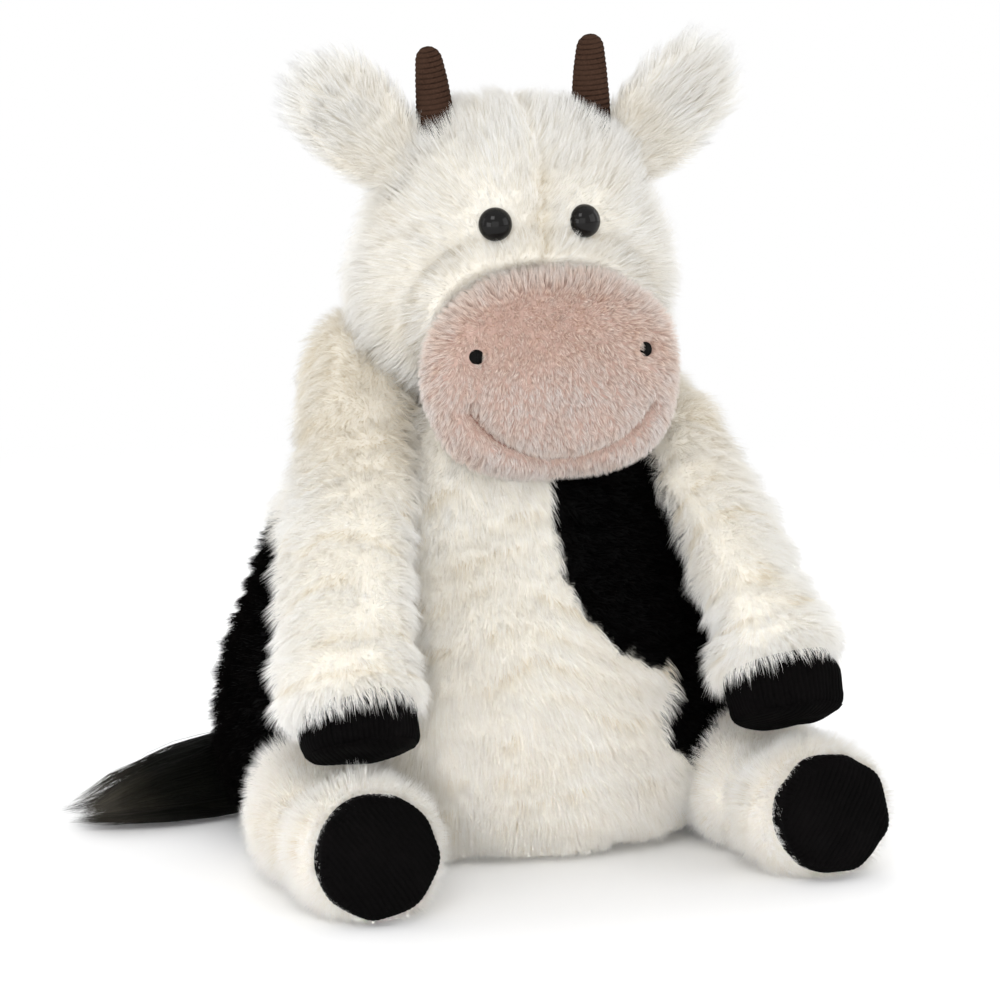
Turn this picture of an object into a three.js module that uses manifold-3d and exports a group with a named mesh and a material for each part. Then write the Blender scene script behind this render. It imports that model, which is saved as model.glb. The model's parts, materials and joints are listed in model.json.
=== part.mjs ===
// Plush cow, sitting: a body with a flat seat, a head with muzzle, horns and ears,
// two arms, two legs and a tail. Millimetres, +Z up, the cow faces -Y and its left is +X.
// The origin is the middle of the flat seat face.

import * as THREE from 'three';
import { mergeVertices } from 'three/addons/utils/BufferGeometryUtils.js';
import Module from 'manifold-3d';

const wasm = await Module();
wasm.setup();

// Cloth, seams and clearances
const plushWall = 1.6;
const cordWall = 1.2;
const seamGap = 0.3;
const jointGap = 0.35;
const armClearance = 7;
const legClearance = 2.4;
const earClearance = 0.9;
const chinClearance = 2.6;
const floorClearance = 1.1;
const cutOverrun = 4;

// Body: skin sizes, without the pile
const bodyHeight = 186;
const bodyHalfWidth = 95;
const bodyHalfDepth = 81;
const bodyLean = 20;
const seatCutDepth = 0.5;
// height, width, depth and lean, each as a share of the body's own size
const bodyShares = [
  [0.0, 0.84, 0.83, 0.0],
  [0.045, 0.955, 0.95, 0.0],
  [0.16, 1.0, 1.0, 0.0],
  [0.33, 0.97, 0.975, 0.05],
  [0.49, 0.9, 0.9, 0.16],
  [0.64, 0.79, 0.785, 0.36],
  [0.78, 0.65, 0.66, 0.62],
  [0.9, 0.46, 0.5, 0.88],
  [0.97, 0.27, 0.31, 1.0],
];

// Neck: the head turns on this round top of the body
const neckRadius = 37;
const neckShares = [0, -0.272, 0.849];
const mouthShare = 0.72;
const throatInset = 5;

// Bean pouch, which lies on the seat cloth inside the filling
const pouchRadius = 52;
const pouchHeight = 26;
const pouchFlatShare = 0.15;

// Dark patches sewn into the body cover: their outlines as shares of the body's half width
// or half depth, and of its height. Each is cut from the given start outwards.
const chestShares = [
  [0.063, 0.785], [0.053, 0.677], [0.084, 0.581], [0.158, 0.489], [0.274, 0.425], [0.421, 0.392],
  [0.537, 0.414], [0.6, 0.495], [0.61, 0.624], [0.547, 0.742], [0.442, 0.806], [0.242, 0.828],
];
const chestStartShare = 0.272;
const flankShares = [
  [-0.37, 0.204], [-0.469, 0.366], [-0.37, 0.527], [-0.074, 0.597], [0.296, 0.618], [0.617, 0.581],
  [0.815, 0.484], [0.864, 0.323], [0.741, 0.161], [0.469, 0.075], [0.123, 0.054], [-0.198, 0.097],
];
const flankTurn = 0.36;
const sideShares = [
  [-0.679, 0.183], [-0.815, 0.258], [-0.765, 0.387], [-0.568, 0.505], [-0.173, 0.57], [0.198, 0.586],
  [0.494, 0.538], [0.642, 0.43], [0.593, 0.28], [0.321, 0.194], [-0.049, 0.161], [-0.42, 0.151],
];
const sideTurn = 0.06;
const flankStartShare = 0.32;

// Head: its middle lies above and before the neck, in shares of its own half sizes
const headShiftShares = [0, -0.281, 1.235];
const headHalfWidth = 53;
const headHalfDepth = 32;
const headHalfHeight = 51;
// how far along the height, width and depth there, each as a share
const headShares = [
  [-0.93, 0.46, 0.46],
  [-0.72, 0.82, 0.8],
  [-0.4, 0.99, 0.98],
  [0.0, 1.0, 1.0],
  [0.38, 0.9, 0.94],
  [0.7, 0.7, 0.76],
  [0.92, 0.4, 0.44],
];

// Muzzle: its middle in shares of the head's half sizes, and on it, in shares of its own,
// the nostrils and the lowest point of the smile
const muzzleShiftShares = [0, -1.188, -0.804];
const muzzleHalfWidth = 48;
const muzzleHalfDepth = 21.5;
const muzzleHalfHeight = 36.5;
const muzzleSquareness = 2.5;
const nostrilRadius = 2.4;
const nostrilShares = [0.667, 0.219];
const stitchThickness = 0.8;
const smileRadiusShare = 0.854;
const smileDropShare = 0.836;
const smileHalfAngle = 0.98;
const smileWidth = 1.8;

// Eyes: glossy safety eyes on a shank, held by a washer behind the cloth
const eyeRadius = 6.1;
const eyeDomeHeight = 4.6;
const eyeShares = [0.321, 0.216];
const shankRadius = 1.5;
const shankLength = 9;
const washerRadius = 6.5;
const washerThickness = 1.2;

// Horns: the root in shares of the head's half sizes, the tip in shares of the horn's length
const hornRootShares = [0.566, -0.156, 0.725];
const hornLength = 37.7;
const hornTipShares = [0.04, 0.186, 0.982];
const hornRootRadius = 7.8;
const hornTipRadius = 4.4;
// how far along, and the radius there
const hornShares = [
  [0.0, 1.0],
  [0.25, 0.97],
  [0.5, 0.88],
  [0.75, 0.74],
  [0.92, 0.6],
];

// Ears: the root in shares of the head's half sizes, the tip in shares of the ear's length
const earRootShares = [0.849, -0.062, 0.549];
const earLength = 54;
const earTipShares = [0.685, 0.093, 0.722];
const earRootRadius = 6.5;
const earHalfWidth = 13;
const earHalfThickness = 4.2;
// how far along, width and thickness
const earShares = [
  [0.0, 0.56, 1.6],
  [0.16, 0.72, 1.4],
  [0.4, 0.98, 1.0],
  [0.6, 1.0, 0.9],
  [0.8, 0.76, 0.8],
  [0.94, 0.4, 0.7],
];

// Arms: the shoulder in shares of the body, the bend and the hoof's end in shares of the arm.
// The hoof ends just above the leg.
const shoulderShares = [0.558, -0.259, 0.833];
const armLength = 134;
const armBendShares = [0.209, -0.396, -0.321];
const armEndShares = [0.213, -0.597];
const hoofLift = 11.8;
const armRadius = 23.5;
const hoofRadius = 22.3;
// along the arm, width and thickness, each as a share
const armShares = [
  [0.0, 1.0, 1.0],
  [0.2, 0.98, 0.98],
  [0.45, 0.99, 0.97],
  [0.65, 1.03, 1.0],
  [0.8, 0.99, 0.97],
];
// how far along the hoof, and the radius there
const hoofShares = [
  [0.0, 0.95],
  [0.35, 1.0],
  [0.8, 1.0],
  [1.0, 0.95],
];

// Legs: the hip in shares of the body, the bend and the foot's end in shares of the leg
const hipShares = [0.874, -0.58];
const legLength = 89;
const legBendShares = [0.011, -0.506];
const legEndShares = [0.034, -1];
const legSagShare = 0.216;
const footLift = 0.9;
const legRadius = 20.8;
const footRadius = 22.2;
// along the leg, width and height: it is pressed flat where the hoof rests on it
const legShares = [
  [0.0, 1.0, 1.0],
  [0.2, 1.1, 0.92],
  [0.42, 1.14, 0.84],
  [0.62, 1.12, 0.92],
  [0.75, 1.1, 1.03],
  [0.86, 1.06, 1.04],
];
const footShares = [
  [0.0, 0.96],
  [0.5, 1.0],
  [1.0, 0.96],
];
const soleCrown = 2.6;
const soleThickness = 1.4;

// Tail: a cloth tube and a tuft of long hair, lying behind the cow towards its right.
// The root is in shares of the body, the tube's bend and end in shares of the tube.
const tailRootShares = [0, 1.03];
const tubeLength = 93;
const tubeBendShares = [-0.667, 0.071];
const tubeEndShares = [-0.925, -0.338];
const tailRadius = 6.5;
const tailTaperShare = 0.15;
const tuftLength = 65.6;
const tuftTipShares = [-0.976, -0.213, -0.049];
const tuftHalfHeight = 13;
const tuftHalfThickness = 7.5;
const tuftLift = 2.2;
// how far along the tuft, and its thickness there
const tuftShares = [
  [0.0, 0.5],
  [0.12, 0.8],
  [0.35, 1.0],
  [0.6, 0.9],
  [0.82, 0.6],
  [0.95, 0.3],
];

// Facets
const skinFacets = { sides: 22, steps: 2 };
const hiddenFacets = { sides: 12, steps: 1 };
const limbFacets = { sides: 12, steps: 1 };
const limbHiddenFacets = { sides: 8, steps: 1 };
const smallFacets = { sides: 10, steps: 1 };
const muzzleRings = 5;
const domeSteps = 3;
const smileSteps = 8;
const ballSides = 18;
const rootSteps = 3;
const tailSteps = 4;

const bothSides = [['left', 1], ['right', -1]];

// Places worked out from the sizes above
const neckPlace = times(neckShares, [bodyHalfWidth, bodyHalfDepth, bodyHeight]);
const headHalfSize = [headHalfWidth, headHalfDepth, headHalfHeight];
const headPlace = plus(neckPlace, times(headShiftShares, headHalfSize));
const muzzlePlace = plus(headPlace, times(muzzleShiftShares, headHalfSize));
const smileRadius = smileRadiusShare * muzzleHalfWidth;
const smileHeight = muzzlePlace[2] - smileDropShare * muzzleHalfHeight + smileRadius;
const hornRoot = plus(headPlace, times(hornRootShares, headHalfSize));
const hornTip = plus(hornRoot, scaled(hornTipShares, hornLength));
const earRoot = plus(headPlace, times(earRootShares, headHalfSize));
const earTip = plus(earRoot, scaled(earTipShares, earLength));
const shoulder = times(shoulderShares, [bodyHalfWidth, bodyHalfDepth, bodyHeight]);
const armBend = plus(shoulder, scaled(armBendShares, armLength));
const armEndHeight = 2 * legRadius + hoofLift;
const armEnd = [...plus(shoulder.slice(0, 2), scaled(armEndShares, armLength)), armEndHeight];
const hipHeight = legRadius + floorClearance;
const hip = [...times(hipShares, [bodyHalfWidth, bodyHalfDepth]), hipHeight];
const legBendHeight = hipHeight - legSagShare * legRadius;
const legBend = [...plus(hip.slice(0, 2), scaled(legBendShares, legLength)), legBendHeight];
const legEndHeight = footRadius + floorClearance + footLift;
const legEnd = [...plus(hip.slice(0, 2), scaled(legEndShares, legLength)), legEndHeight];
const tailHeight = tuftHalfHeight + tuftLift;
const tailRoot = [...times(tailRootShares, [bodyHalfWidth, bodyHalfDepth]), tailHeight];
const tubeBend = [...plus(tailRoot.slice(0, 2), scaled(tubeBendShares, tubeLength)), tailHeight];
const tubeEnd = [...plus(tailRoot.slice(0, 2), scaled(tubeEndShares, tubeLength)), tailHeight];
const tailEnd = plus(tubeEnd, scaled(tuftTipShares, tuftLength));

const materials = {
  whitePlush: cloth('#efebdf', 0.95),
  blackPlush: cloth('#14120f', 0.95),
  pinkPlush: cloth('#c9a79c', 0.95),
  blackCord: cloth('#0e0d0d', 0.9),
  brownCord: cloth('#4b372b', 0.9),
  thread: cloth('#0b0a0a', 0.7),
  smileThread: cloth('#8f6a62', 0.9),
  eyePlastic: cloth('#050506', 0.08),
  washerPlastic: cloth('#d8d6d0', 0.5),
  fibre: cloth('#f7f6f2', 1.0),
  beanCloth: cloth('#dcd8cc', 0.95),
  tailHair: cloth('#121411', 0.6),
};

function cloth(colour, roughness) {
  return new THREE.MeshStandardMaterial({ color: colour, roughness, metalness: 0 });
}

// Sums with lists of three or two values

function plus(first, second) {
  return first.map((value, i) => value + second[i]);
}

function times(shares, sizes) {
  return shares.map((share, i) => share * sizes[i]);
}

function scaled(shares, size) {
  return shares.map((share) => share * size);
}

// Solids and meshes

function toSolid(geometry) {
  const bare = geometry.clone();
  bare.deleteAttribute('normal');
  bare.deleteAttribute('uv');
  const merged = mergeVertices(bare);
  const vertProperties = Float32Array.from(merged.attributes.position.array);
  const triVerts = Uint32Array.from(merged.index.array);
  if (signedVolume(vertProperties, triVerts) < 0) {
    flipFaces(triVerts);
  }
  return new wasm.Manifold(new wasm.Mesh({ numProp: 3, vertProperties, triVerts }));
}

function signedVolume(points, faces) {
  const a = new THREE.Vector3();
  const b = new THREE.Vector3();
  const c = new THREE.Vector3();
  let volume = 0;
  for (let i = 0; i < faces.length; i += 3) {
    a.fromArray(points, 3 * faces[i]);
    b.fromArray(points, 3 * faces[i + 1]);
    c.fromArray(points, 3 * faces[i + 2]);
    volume += a.dot(b.cross(c)) / 6;
  }
  return volume;
}

function flipFaces(faces) {
  for (let i = 0; i < faces.length; i += 3) {
    const kept = faces[i];
    faces[i] = faces[i + 1];
    faces[i + 1] = kept;
  }
}

function toMesh(name, solid, material) {
  const { vertProperties, triVerts } = solid.getMesh();
  const geometry = new THREE.BufferGeometry();
  geometry.setAttribute('position', new THREE.BufferAttribute(vertProperties, 3));
  geometry.setIndex(new THREE.BufferAttribute(triVerts, 1));
  const mesh = new THREE.Mesh(geometry, material);
  mesh.name = name;
  return mesh;
}

// Places a point list on the cow's left (side 1) or right (side -1)
function placed(point, side = 1) {
  return new THREE.Vector3(point[0] * side, point[1], point[2]);
}

// A smooth curve through a table of shares, read at any share of its first column
function through(table) {
  const columns = table[0].length;
  const last = table.length - 1;
  return (at) => {
    let i = 0;
    while (i < last - 1 && at > table[i + 1][0]) {
      i += 1;
    }
    const before = table[Math.max(i - 1, 0)];
    const [from, to] = [table[i], table[i + 1]];
    const after = table[Math.min(i + 2, last)];
    const t = (at - from[0]) / (to[0] - from[0]);
    const row = [];
    for (let k = 1; k < columns; k += 1) {
      const inSlope = (to[k] - before[k]) / (to[0] - before[0]);
      const outSlope = (after[k] - from[k]) / (after[0] - from[0]);
      row.push(hermite(from[k], to[k], inSlope * (to[0] - from[0]), outSlope * (to[0] - from[0]), t));
    }
    return row;
  };
}

function hermite(from, to, inSlope, outSlope, t) {
  const t2 = t * t;
  const t3 = t2 * t;
  return (2 * t3 - 3 * t2 + 1) * from + (t3 - 2 * t2 + t) * inSlope
    + (3 * t2 - 2 * t3) * to + (t3 - t2) * outSlope;
}

// The first column of a table, with each of its stretches in the given number of steps
function stations(table, steps) {
  const places = [];
  for (let i = 0; i + 1 < table.length; i += 1) {
    for (let step = 0; step < steps; step += 1) {
      places.push(table[i][0] + (table[i + 1][0] - table[i][0]) * step / steps);
    }
  }
  places.push(table[table.length - 1][0]);
  return places;
}

// A closed skin over rings; each ring has a centre, two half-axes and a squareness
function loft(rings, sides) {
  const points = [];
  const faces = [];
  for (const ring of rings) {
    const power = 2 / (ring.squareness ?? 2);
    for (let k = 0; k < sides; k += 1) {
      const turn = 2 * Math.PI * k / sides;
      const [c, s] = [Math.cos(turn), Math.sin(turn)];
      const point = ring.centre.clone()
        .addScaledVector(ring.across, Math.sign(c) * Math.abs(c) ** power)
        .addScaledVector(ring.upward, Math.sign(s) * Math.abs(s) ** power);
      points.push(...point.toArray());
    }
  }
  for (let j = 0; j + 1 < rings.length; j += 1) {
    for (let k = 0; k < sides; k += 1) {
      const next = (k + 1) % sides;
      const [a, b] = [j * sides + k, j * sides + next];
      faces.push(a, b, b + sides, a, b + sides, a + sides);
    }
  }
  const endPoles = [0, rings.length - 1];
  for (const j of endPoles) {
    const pole = points.length / 3;
    const reach = rings[j].pole ?? 0;
    points.push(...rings[j].centre.clone().addScaledVector(rings[j].outward, reach).toArray());
    for (let k = 0; k < sides; k += 1) {
      const pair = [j * sides + k, j * sides + (k + 1) % sides];
      faces.push(pole, ...(j === 0 ? pair.reverse() : pair));
    }
  }
  const geometry = new THREE.BufferGeometry();
  geometry.setAttribute('position', new THREE.Float32BufferAttribute(points, 3));
  geometry.setIndex(faces);
  return geometry;
}

function ball(radius, centre, sides = ballSides) {
  const geometry = new THREE.SphereGeometry(radius, sides, Math.round(sides / 2));
  return toSolid(geometry.translate(centre.x, centre.y, centre.z));
}

// How much closer to its middle a faceted ball's flats lie than its corners
function flatShare(sides) {
  return Math.cos(Math.PI / sides) ** 2;
}

// The faceted ball that just holds a round root of the given radius, at any turn
function rootRoom(radius, centre) {
  return ball(radius / flatShare(ballSides), centre);
}

// The faceted socket in which that ball turns freely
function socket(radius, centre, extra = 0, sides = ballSides) {
  const held = radius / flatShare(ballSides);
  return ball((held + jointGap + extra) / flatShare(sides), centre, sides);
}

// The round neck, whose facets run in rings about the axis that the head rocks on
function neckBall(radius) {
  const geometry = new THREE.SphereGeometry(radius, ballSides, ballSides / 2);
  geometry.rotateZ(Math.PI / 2);
  return toSolid(geometry.translate(...neckPlace));
}

// The hollow under the head for that neck
function neckSocket(extra = 0) {
  return neckBall((neckRadius + jointGap + extra) / Math.cos(Math.PI / ballSides));
}

function block(size, centre) {
  const geometry = new THREE.BoxGeometry(...size);
  return toSolid(geometry.translate(...centre));
}

// Body

// The body's form, swollen (positive) or drawn in (negative) by the given amount
function bodyForm(swell, facets = skinFacets) {
  const shares = through(bodyShares);
  const rings = stations(bodyShares, facets.steps).map((share) => {
    const [width, depth, lean] = shares(share);
    return {
      centre: new THREE.Vector3(0, -bodyLean * lean, (bodyHeight + seatCutDepth) * share - seatCutDepth),
      across: new THREE.Vector3(bodyHalfWidth * width + swell, 0, 0),
      upward: new THREE.Vector3(0, bodyHalfDepth * depth + swell, 0),
      outward: new THREE.Vector3(0, 0, 1),
    };
  });
  rings[0].centre.z -= swell;
  rings[rings.length - 1].pole = bodyHeight - rings[rings.length - 1].centre.z + swell;
  const form = toSolid(loft(rings, facets.sides));
  return form.add(neckBall(neckRadius + swell));
}

// Everything below the given height, to cut the seat flat
function below(height) {
  const size = 4 * bodyHalfWidth;
  return block([size, size, size], [0, 0, height - size / 2]);
}

// A patch's outline on the body, moved out from its middle by the given amount
function patchOutline(shares, halfSize, amount) {
  const points = shares.map((share) => new THREE.Vector2(share[0] * halfSize, share[1] * bodyHeight));
  const middle = points.reduce((sum, point) => sum.add(point), new THREE.Vector2());
  middle.divideScalar(points.length);
  return points.map((point) => {
    const arm = point.clone().sub(middle);
    return middle.clone().add(arm.setLength(arm.length() + amount));
  });
}

function prism(points, depth) {
  return new THREE.ExtrudeGeometry(new THREE.Shape(points), { depth, bevelEnabled: false });
}

// A cutter that runs forward from the chest
function chestCutter(gap) {
  const geometry = prism(patchOutline(chestShares, bodyHalfWidth, gap), 2 * bodyHalfDepth);
  geometry.rotateX(Math.PI / 2);
  return toSolid(geometry.translate(0, -chestStartShare * bodyHalfDepth, 0));
}

// A cutter that runs out from one side, turned a little towards the back
function flankCutter(shares, side, turn, gap) {
  const geometry = prism(patchOutline(shares, bodyHalfDepth, gap), 2 * bodyHalfWidth);
  geometry.translate(0, 0, flankStartShare * bodyHalfWidth);
  geometry.applyMatrix4(new THREE.Matrix4().makeBasis(
    new THREE.Vector3(0, 1, 0),
    new THREE.Vector3(0, 0, 1),
    new THREE.Vector3(side, 0, 0),
  ));
  geometry.rotateZ(side * turn);
  return toSolid(geometry);
}

// Round places in the body where the limbs and the tail turn
function bodySockets(extra, sides) {
  let sockets = socket(tailRadius, placed(tailRoot), extra, sides);
  for (const side of [1, -1]) {
    sockets = sockets.add(socket(armRadius, placed(shoulder, side), extra, sides));
    sockets = sockets.add(socket(legRadius, placed(hip, side), extra, sides));
  }
  return sockets;
}

function bodyPieces() {
  const inside = bodyForm(-plushWall, hiddenFacets).subtract(below(plushWall));
  const shell = bodyForm(0).subtract(inside).subtract(below(0)).subtract(bodySockets(0, ballSides));
  const filling = bodyForm(-plushWall - seamGap, hiddenFacets)
    .subtract(below(plushWall + seamGap))
    .subtract(bodySockets(seamGap, hiddenFacets.sides))
    .subtract(pouchForm(seamGap));
  const chest = chestCutter(0);
  const flank = flankCutter(flankShares, -1, flankTurn, 0);
  const side = flankCutter(sideShares, 1, sideTurn, 0).subtract(chestCutter(seamGap));
  const cover = shell
    .subtract(chestCutter(seamGap))
    .subtract(flankCutter(flankShares, -1, flankTurn, seamGap))
    .subtract(flankCutter(sideShares, 1, sideTurn, seamGap));
  return [
    toMesh('body_cover', cover, materials.whitePlush),
    toMesh('chest_patch', shell.intersect(chest), materials.blackPlush),
    toMesh('flank_patch_right', shell.intersect(flank), materials.blackPlush),
    toMesh('side_patch_left', shell.intersect(side), materials.blackPlush),
    toMesh('body_filling', filling, materials.fibre),
    toMesh('bean_pouch', pouchForm(0), materials.beanCloth),
  ];
}

// A flattened bag on the seat cloth, which weights the seat
function pouchForm(swell) {
  const floor = plushWall + seamGap;
  const { sides } = hiddenFacets;
  const halfHeight = pouchHeight / 2 / (1 - pouchFlatShare);
  const geometry = new THREE.SphereGeometry(1, sides, sides / 2);
  geometry.rotateX(Math.PI / 2);
  geometry.scale(pouchRadius + swell, pouchRadius + swell, halfHeight + swell);
  geometry.translate(0, 0, floor + pouchHeight - halfHeight);
  return toSolid(geometry).subtract(below(floor - swell));
}

// Head

function headForm(swell, facets = skinFacets) {
  const shares = through(headShares);
  const rings = stations(headShares, facets.steps).map((share) => {
    const [width, depth] = shares(share);
    return {
      centre: new THREE.Vector3(headPlace[0], headPlace[1], headPlace[2] + (headHalfHeight + swell) * share),
      across: new THREE.Vector3(headHalfWidth * width + swell, 0, 0),
      upward: new THREE.Vector3(0, headHalfDepth * depth + swell, 0),
      outward: new THREE.Vector3(0, 0, 1),
    };
  });
  const reach = headHalfHeight + swell;
  rings[0].pole = headPlace[2] - reach - rings[0].centre.z;
  rings[rings.length - 1].pole = headPlace[2] + reach - rings[rings.length - 1].centre.z;
  return toSolid(loft(rings, facets.sides));
}

function muzzleForm(swell, facets = skinFacets) {
  const rings = [];
  const count = muzzleRings * facets.steps;
  for (let j = 1; j < count; j += 1) {
    const tilt = Math.PI * j / count;
    const width = Math.sin(tilt) ** (2 / muzzleSquareness);
    rings.push({
      centre: placed(muzzlePlace).add(new THREE.Vector3(0, -(muzzleHalfDepth + swell) * Math.cos(tilt), 0)),
      across: new THREE.Vector3((muzzleHalfWidth + swell) * width, 0, 0),
      upward: new THREE.Vector3(0, 0, (muzzleHalfHeight + swell) * width),
      outward: new THREE.Vector3(0, 1, 0),
      squareness: muzzleSquareness,
    });
  }
  const poleReach = (muzzleHalfDepth + swell) * (1 - Math.cos(Math.PI / count));
  rings[0].pole = -poleReach;
  rings[rings.length - 1].pole = poleReach;
  return toSolid(loft(rings, facets.sides));
}

function headPieces() {
  const inset = plushWall + seamGap;
  const muzzle = muzzleForm(0)
    .subtract(headForm(seamGap))
    .subtract(bodyForm(chinClearance))
    .subtract(muzzleForm(-plushWall, hiddenFacets).subtract(bodyForm(chinClearance + plushWall)));
  let cover = headForm(0)
    .subtract(neckSocket())
    .subtract(headForm(-plushWall, hiddenFacets).subtract(neckSocket(plushWall)))
    .subtract(throat(0))
    .subtract(neckMouth());
  let filling = headForm(-inset, hiddenFacets)
    .add(muzzleForm(-inset, hiddenFacets).subtract(bodyForm(chinClearance + inset)))
    .subtract(neckSocket(inset))
    .subtract(headForm(seamGap).subtract(headForm(-inset, hiddenFacets)).subtract(throat(seamGap)));
  const pieces = [];
  for (const [sideName, side] of bothSides) {
    const eye = eyePieces(side);
    cover = cover.subtract(eye.hole);
    filling = filling.subtract(eye.room);
    pieces.push(toMesh(`eye_${sideName}`, eye.dome, materials.eyePlastic));
    pieces.push(toMesh(`eye_washer_${sideName}`, eye.washer, materials.washerPlastic));
    pieces.push(...hornPieces(sideName, side));
    cover = cover.subtract(socket(earRootRadius, placed(earRoot, side)));
    filling = filling.subtract(socket(earRootRadius, placed(earRoot, side), seamGap));
  }
  pieces.push(toMesh('head_cover', cover, materials.whitePlush));
  pieces.push(toMesh('head_filling', filling, materials.fibre));
  pieces.push(toMesh('muzzle_cover', muzzle, materials.pinkPlush));
  pieces.push(...facePieces());
  return pieces;
}

// The opening at the bottom of the head cover, where it is sewn round the neck
function neckMouth() {
  const radius = neckRadius * mouthShare;
  return ball(radius, placed(neckPlace).add(new THREE.Vector3(0, 0, radius)));
}

// The opening in the head cover behind the muzzle, through which the filling runs
function throat(gap) {
  return muzzleForm(-throatInset - gap, hiddenFacets);
}

function eyePieces(side) {
  const [spread, rise] = eyeShares;
  const depth = -Math.sqrt(1 - spread ** 2 - rise ** 2);
  const [x, y, z] = plus(headPlace, times([side * spread, depth, rise], headHalfSize));
  const outward = new THREE.Vector3(
    side * spread / headHalfWidth,
    depth / headHalfDepth,
    rise / headHalfHeight,
  ).normalize();
  const turn = new THREE.Quaternion().setFromUnitVectors(new THREE.Vector3(0, 1, 0), outward);
  const facing = new THREE.Matrix4().makeRotationFromQuaternion(turn).setPosition(x, y, z);
  const profile = [new THREE.Vector2(0, -shankLength)];
  profile.push(new THREE.Vector2(shankRadius, -shankLength));
  profile.push(new THREE.Vector2(shankRadius, seamGap));
  for (let i = 0; i <= domeSteps; i += 1) {
    const rise = Math.PI / 2 * i / domeSteps;
    const radius = i === domeSteps ? 0 : eyeRadius * Math.cos(rise);
    profile.push(new THREE.Vector2(radius, seamGap + eyeDomeHeight * Math.sin(rise)));
  }
  const dome = lathe(profile, facing);
  const washerBack = -plushWall - seamGap - washerThickness;
  const washer = lathe([
    new THREE.Vector2(shankRadius + seamGap, washerBack),
    new THREE.Vector2(washerRadius, washerBack),
    new THREE.Vector2(washerRadius, washerBack + washerThickness),
    new THREE.Vector2(shankRadius + seamGap, washerBack + washerThickness),
    new THREE.Vector2(shankRadius + seamGap, washerBack),
  ], facing);
  const seat = cylinder(eyeRadius + seamGap, 0, eyeDomeHeight, facing);
  const hole = cylinder(shankRadius + seamGap, -shankLength, seamGap, facing);
  const washerRoom = cylinder(washerRadius + seamGap, -shankLength, -plushWall, facing);
  const room = cylinder(washerRadius + seamGap, washerBack - seamGap, seamGap, facing)
    .add(cylinder(shankRadius + seamGap, -shankLength - seamGap, seamGap, facing));
  return { dome, washer, hole: hole.add(seat).add(washerRoom), room };
}

// A turned solid whose profile's second coordinate runs out of the face
function lathe(profile, matrix) {
  const geometry = new THREE.LatheGeometry(profile, smallFacets.sides);
  return toSolid(geometry.applyMatrix4(matrix));
}

function cylinder(radius, from, to, matrix) {
  const geometry = new THREE.CylinderGeometry(radius, radius, to - from, smallFacets.sides);
  geometry.translate(0, (from + to) / 2, 0);
  return toSolid(geometry.applyMatrix4(matrix));
}

// Stitched nostrils and smile: thin raised bands that follow the muzzle
function facePieces() {
  const band = muzzleForm(seamGap + stitchThickness).subtract(muzzleForm(seamGap));
  const [x, y, z] = muzzlePlace;
  const pieces = [];
  for (const [sideName, side] of bothSides) {
    const facing = new THREE.Matrix4().makeRotationX(Math.PI);
    const [spread, rise] = times(nostrilShares, [muzzleHalfWidth, muzzleHalfHeight]);
    facing.setPosition(x + spread * side, y, z + rise);
    const dot = cylinder(nostrilRadius, 0, 2 * muzzleHalfDepth, facing);
    pieces.push(toMesh(`nostril_${sideName}`, band.intersect(dot), materials.thread));
  }
  const arc = new THREE.Shape();
  const start = -Math.PI / 2 - smileHalfAngle;
  const end = -Math.PI / 2 + smileHalfAngle;
  arc.absarc(0, 0, smileRadius + smileWidth / 2, start, end, false);
  arc.absarc(0, 0, smileRadius - smileWidth / 2, end, start, true);
  const options = { depth: 2 * muzzleHalfDepth, bevelEnabled: false, curveSegments: smileSteps };
  const strip = new THREE.ExtrudeGeometry(arc, options);
  strip.rotateX(Math.PI / 2);
  strip.translate(x, y, smileHeight);
  pieces.push(toMesh('smile_stitch', band.intersect(toSolid(strip)), materials.smileThread));
  return pieces;
}

// A straight tapered form from one point to another, with a rounded far end
function taperRings(from, to, startRadius, endRadius, shares, swell, steps) {
  const along = to.clone().sub(from);
  const length = along.length();
  const direction = along.clone().normalize();
  const across = new THREE.Vector3(1, 0, 0).cross(direction).normalize();
  const upward = direction.clone().cross(across);
  const at = through(shares);
  const scale = (startRadius - endRadius) / (shares[0][1] - shares[shares.length - 1][1]);
  const rings = stations(shares, steps).map((share) => {
    const radius = endRadius + (at(share)[0] - shares[shares.length - 1][1]) * scale + swell;
    return {
      centre: from.clone().addScaledVector(direction, length * share),
      across: across.clone().multiplyScalar(radius),
      upward: upward.clone().multiplyScalar(radius),
      outward: direction,
    };
  });
  rings[rings.length - 1].pole = length * (1 - shares[shares.length - 1][0]) + swell;
  return rings;
}

function hornForm(side, swell, runOn = 0) {
  const { sides, steps } = smallFacets;
  const ends = [placed(hornRoot, side), placed(hornTip, side)];
  const rings = taperRings(...ends, hornRootRadius, hornTipRadius, hornShares, swell, steps);
  if (runOn > 0) {
    rings.unshift(shifted({ ...rings[0], pole: 0 }, -runOn));
  }
  return toSolid(loft(rings, sides));
}

// A horn is a cloth cap, open at its root, over its own filling
function hornPieces(sideName, side) {
  const clear = headForm(seamGap);
  const shell = hornForm(side, 0).subtract(hornForm(side, -cordWall, cutOverrun)).subtract(clear);
  const filling = hornForm(side, -cordWall - seamGap).subtract(clear);
  return [
    toMesh(`horn_${sideName}`, shell, materials.brownCord),
    toMesh(`horn_filling_${sideName}`, filling, materials.fibre),
  ];
}

// Ears

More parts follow.
